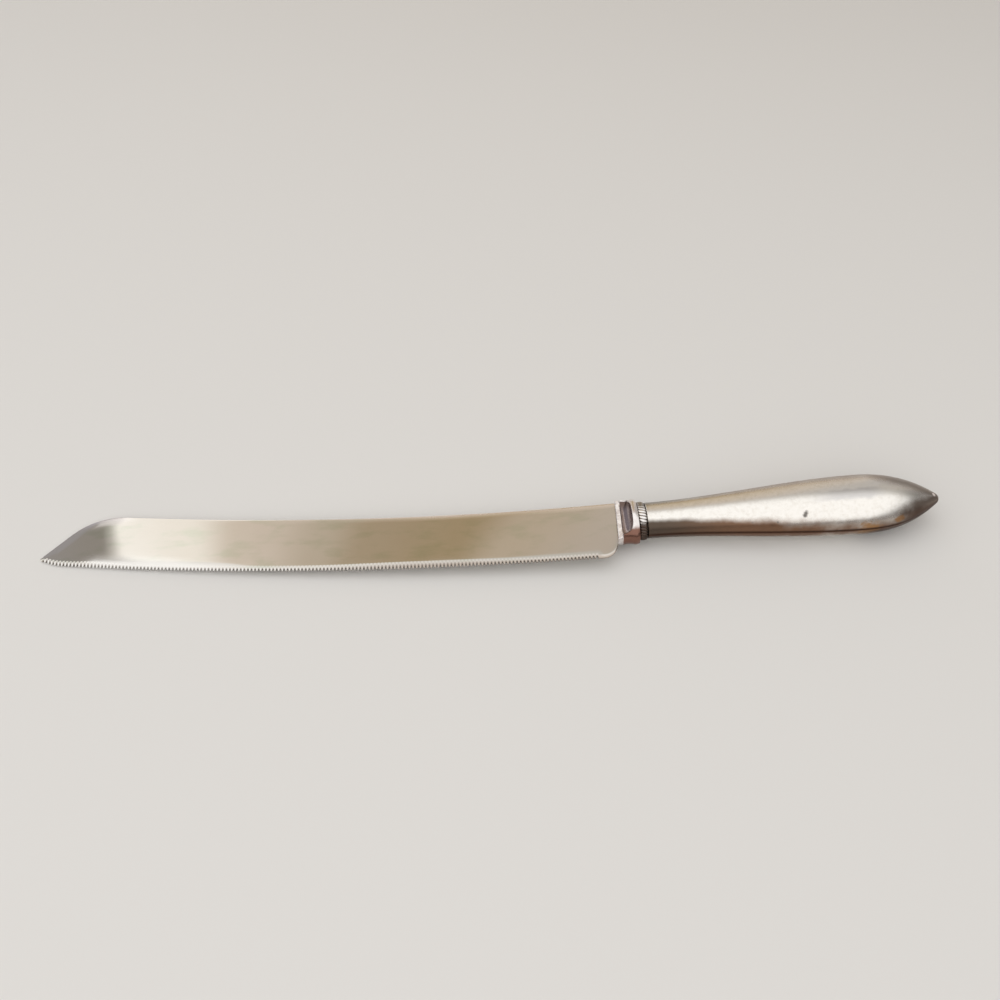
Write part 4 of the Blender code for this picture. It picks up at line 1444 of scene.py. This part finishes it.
def glowing_finish(name, side, turn, half_size, tones, dims=NEVER):
    """A glow with a ramp of tones at a turn to a sheet's side, which dims from one X to another."""
    finish = bpy.data.materials.new(name)
    finish.use_nodes = True
    finish.node_tree.nodes.clear()
    places = add_node(finish, "ShaderNodeTexCoord", {}).outputs["Object"]
    turning = {"Vector": places, "Rotation": (0, 0, turn)}
    turned = add_node(finish, "ShaderNodeMapping", turning).outputs["Vector"]
    across = add_node(finish, "ShaderNodeSeparateXYZ", {"Vector": turned}).outputs[side]
    reach = half_size * RAMP_REACH
    span = {"Value": across, "From Min": -reach, "From Max": reach}
    share = add_node(finish, "ShaderNodeMapRange", span).outputs["Result"]
    ramp = add_node(finish, "ShaderNodeValToRGB", {"Fac": share})
    ramp.color_ramp.interpolation = "EASE"
    stops = ramp.color_ramp.elements
    while len(stops) < len(tones):
        stops.new(0.5)
    for stop, (place, tone) in zip(stops, tones):
        stop.position = (place + reach) / (2 * reach)
        stop.color = (*tone, 1)
    right = add_node(finish, "ShaderNodeSeparateXYZ", {"Vector": places}).outputs["X"]
    strength = fade(finish, right, *dims, 1.0, DIMMED)
    glow = add_node(finish, "ShaderNodeEmission", {"Color": ramp.outputs["Color"], "Strength": strength})
    add_node(finish, "ShaderNodeOutputMaterial", {"Surface": glow.outputs["Emission"]})
    return finish


print("the glow of a sheet is ready")

# %% Hang the softbox and the card
SOFTBOX_HEIGHT = 0.75
SOFTBOX_HALF_SIZE = 2.0
SOFTBOX_MIDDLE = (-0.5, -1.5)
SOFTBOX_TURN = math.radians(20)
SOFTBOX_DIMS = (1.12, 2.0)
SOFTBOX_TONES = (
    (-1.50, (0.85, 0.84, 0.83)),
    (0.0, (1.10, 1.09, 1.08)),
    (1.83, (1.10, 1.09, 1.08)),
    (2.20, (0.50, 0.48, 0.45)),
)
CARD_Y = 0.9
CARD_HALF_SIZE = 1.45
CARD_TURN = math.radians(-15)
CARD_MIDDLE_Z = 0.87
CARD_TONES = (
    (-1.205, (0.42, 0.42, 0.45)),
    (-0.766, (0.40, 0.39, 0.41)),
    (-0.576, (0.345, 0.325, 0.30)),
    (-0.551, (1.27, 1.26, 1.23)),
    (-0.439, (1.18, 1.155, 1.10)),
    (-0.366, (0.82, 0.735, 0.645)),
    (-0.320, (0.78, 0.69, 0.605)),
    (-0.231, (0.615, 0.535, 0.436)),
    (-0.151, (0.485, 0.395, 0.28)),
    (0.007, (0.45, 0.355, 0.225)),
    (0.097, (0.60, 0.51, 0.40)),
    (0.285, (0.605, 0.54, 0.475)),
    (0.454, (0.50, 0.475, 0.455)),
    (1.293, (0.48, 0.44, 0.40)),
)

softbox_glow = glowing_finish("softbox", "Y", SOFTBOX_TURN, SOFTBOX_HALF_SIZE, SOFTBOX_TONES, SOFTBOX_DIMS)
softbox = stage_sheet("softbox", softbox_glow, SOFTBOX_HALF_SIZE)
softbox.location = (*SOFTBOX_MIDDLE, SOFTBOX_HEIGHT)
card_glow = glowing_finish("card", "X", CARD_TURN, CARD_HALF_SIZE, CARD_TONES)
card = stage_sheet("card", card_glow, CARD_HALF_SIZE)
card.rotation_euler.x = math.pi / 2
card.location = (0, CARD_Y, CARD_MIDDLE_Z)
for sheet in (softbox, card):
    sheet.visible_camera = False
    print(f"{sheet.name} is {sheet.dimensions.x:.1f} m wide")

# %% Set the fill light and the view transform
FILL = (0.30, 0.28, 0.27, 1)


def fill_world():
    world = bpy.data.worlds.new("studio")
    world.use_nodes = True
    tree = world.node_tree
    tree.nodes.clear()
    fill, pale = (add_node(world, "ShaderNodeBackground", {"Color": colour}).outputs["Background"]
                  for colour in (FILL, PALE_SURROUND))
    seen = add_node(world, "ShaderNodeLightPath", {}).outputs["Is Camera Ray"]
    mix = add_node(world, "ShaderNodeMixShader", {0: seen, 1: fill, 2: pale})
    add_node(world, "ShaderNodeOutputWorld", {"Surface": mix.outputs["Shader"]})
    return world


bpy.context.scene.world = fill_world()
bpy.context.scene.view_settings.view_transform = "Standard"
print("world and view transform are set")

# %% [markdown]
# ## Measure and finish
# Dressing a piece must not change its size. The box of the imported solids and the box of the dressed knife
# are written side by side, so that they can be compared.

# %% Write the sizes and finish
visual_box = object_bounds()
for name, (low, high) in (("packed", cad_box), ("dressed", visual_box)):
    print(name, "box:", " x ".join(f"{side * 1000:.1f}" for side in high - low), "mm")
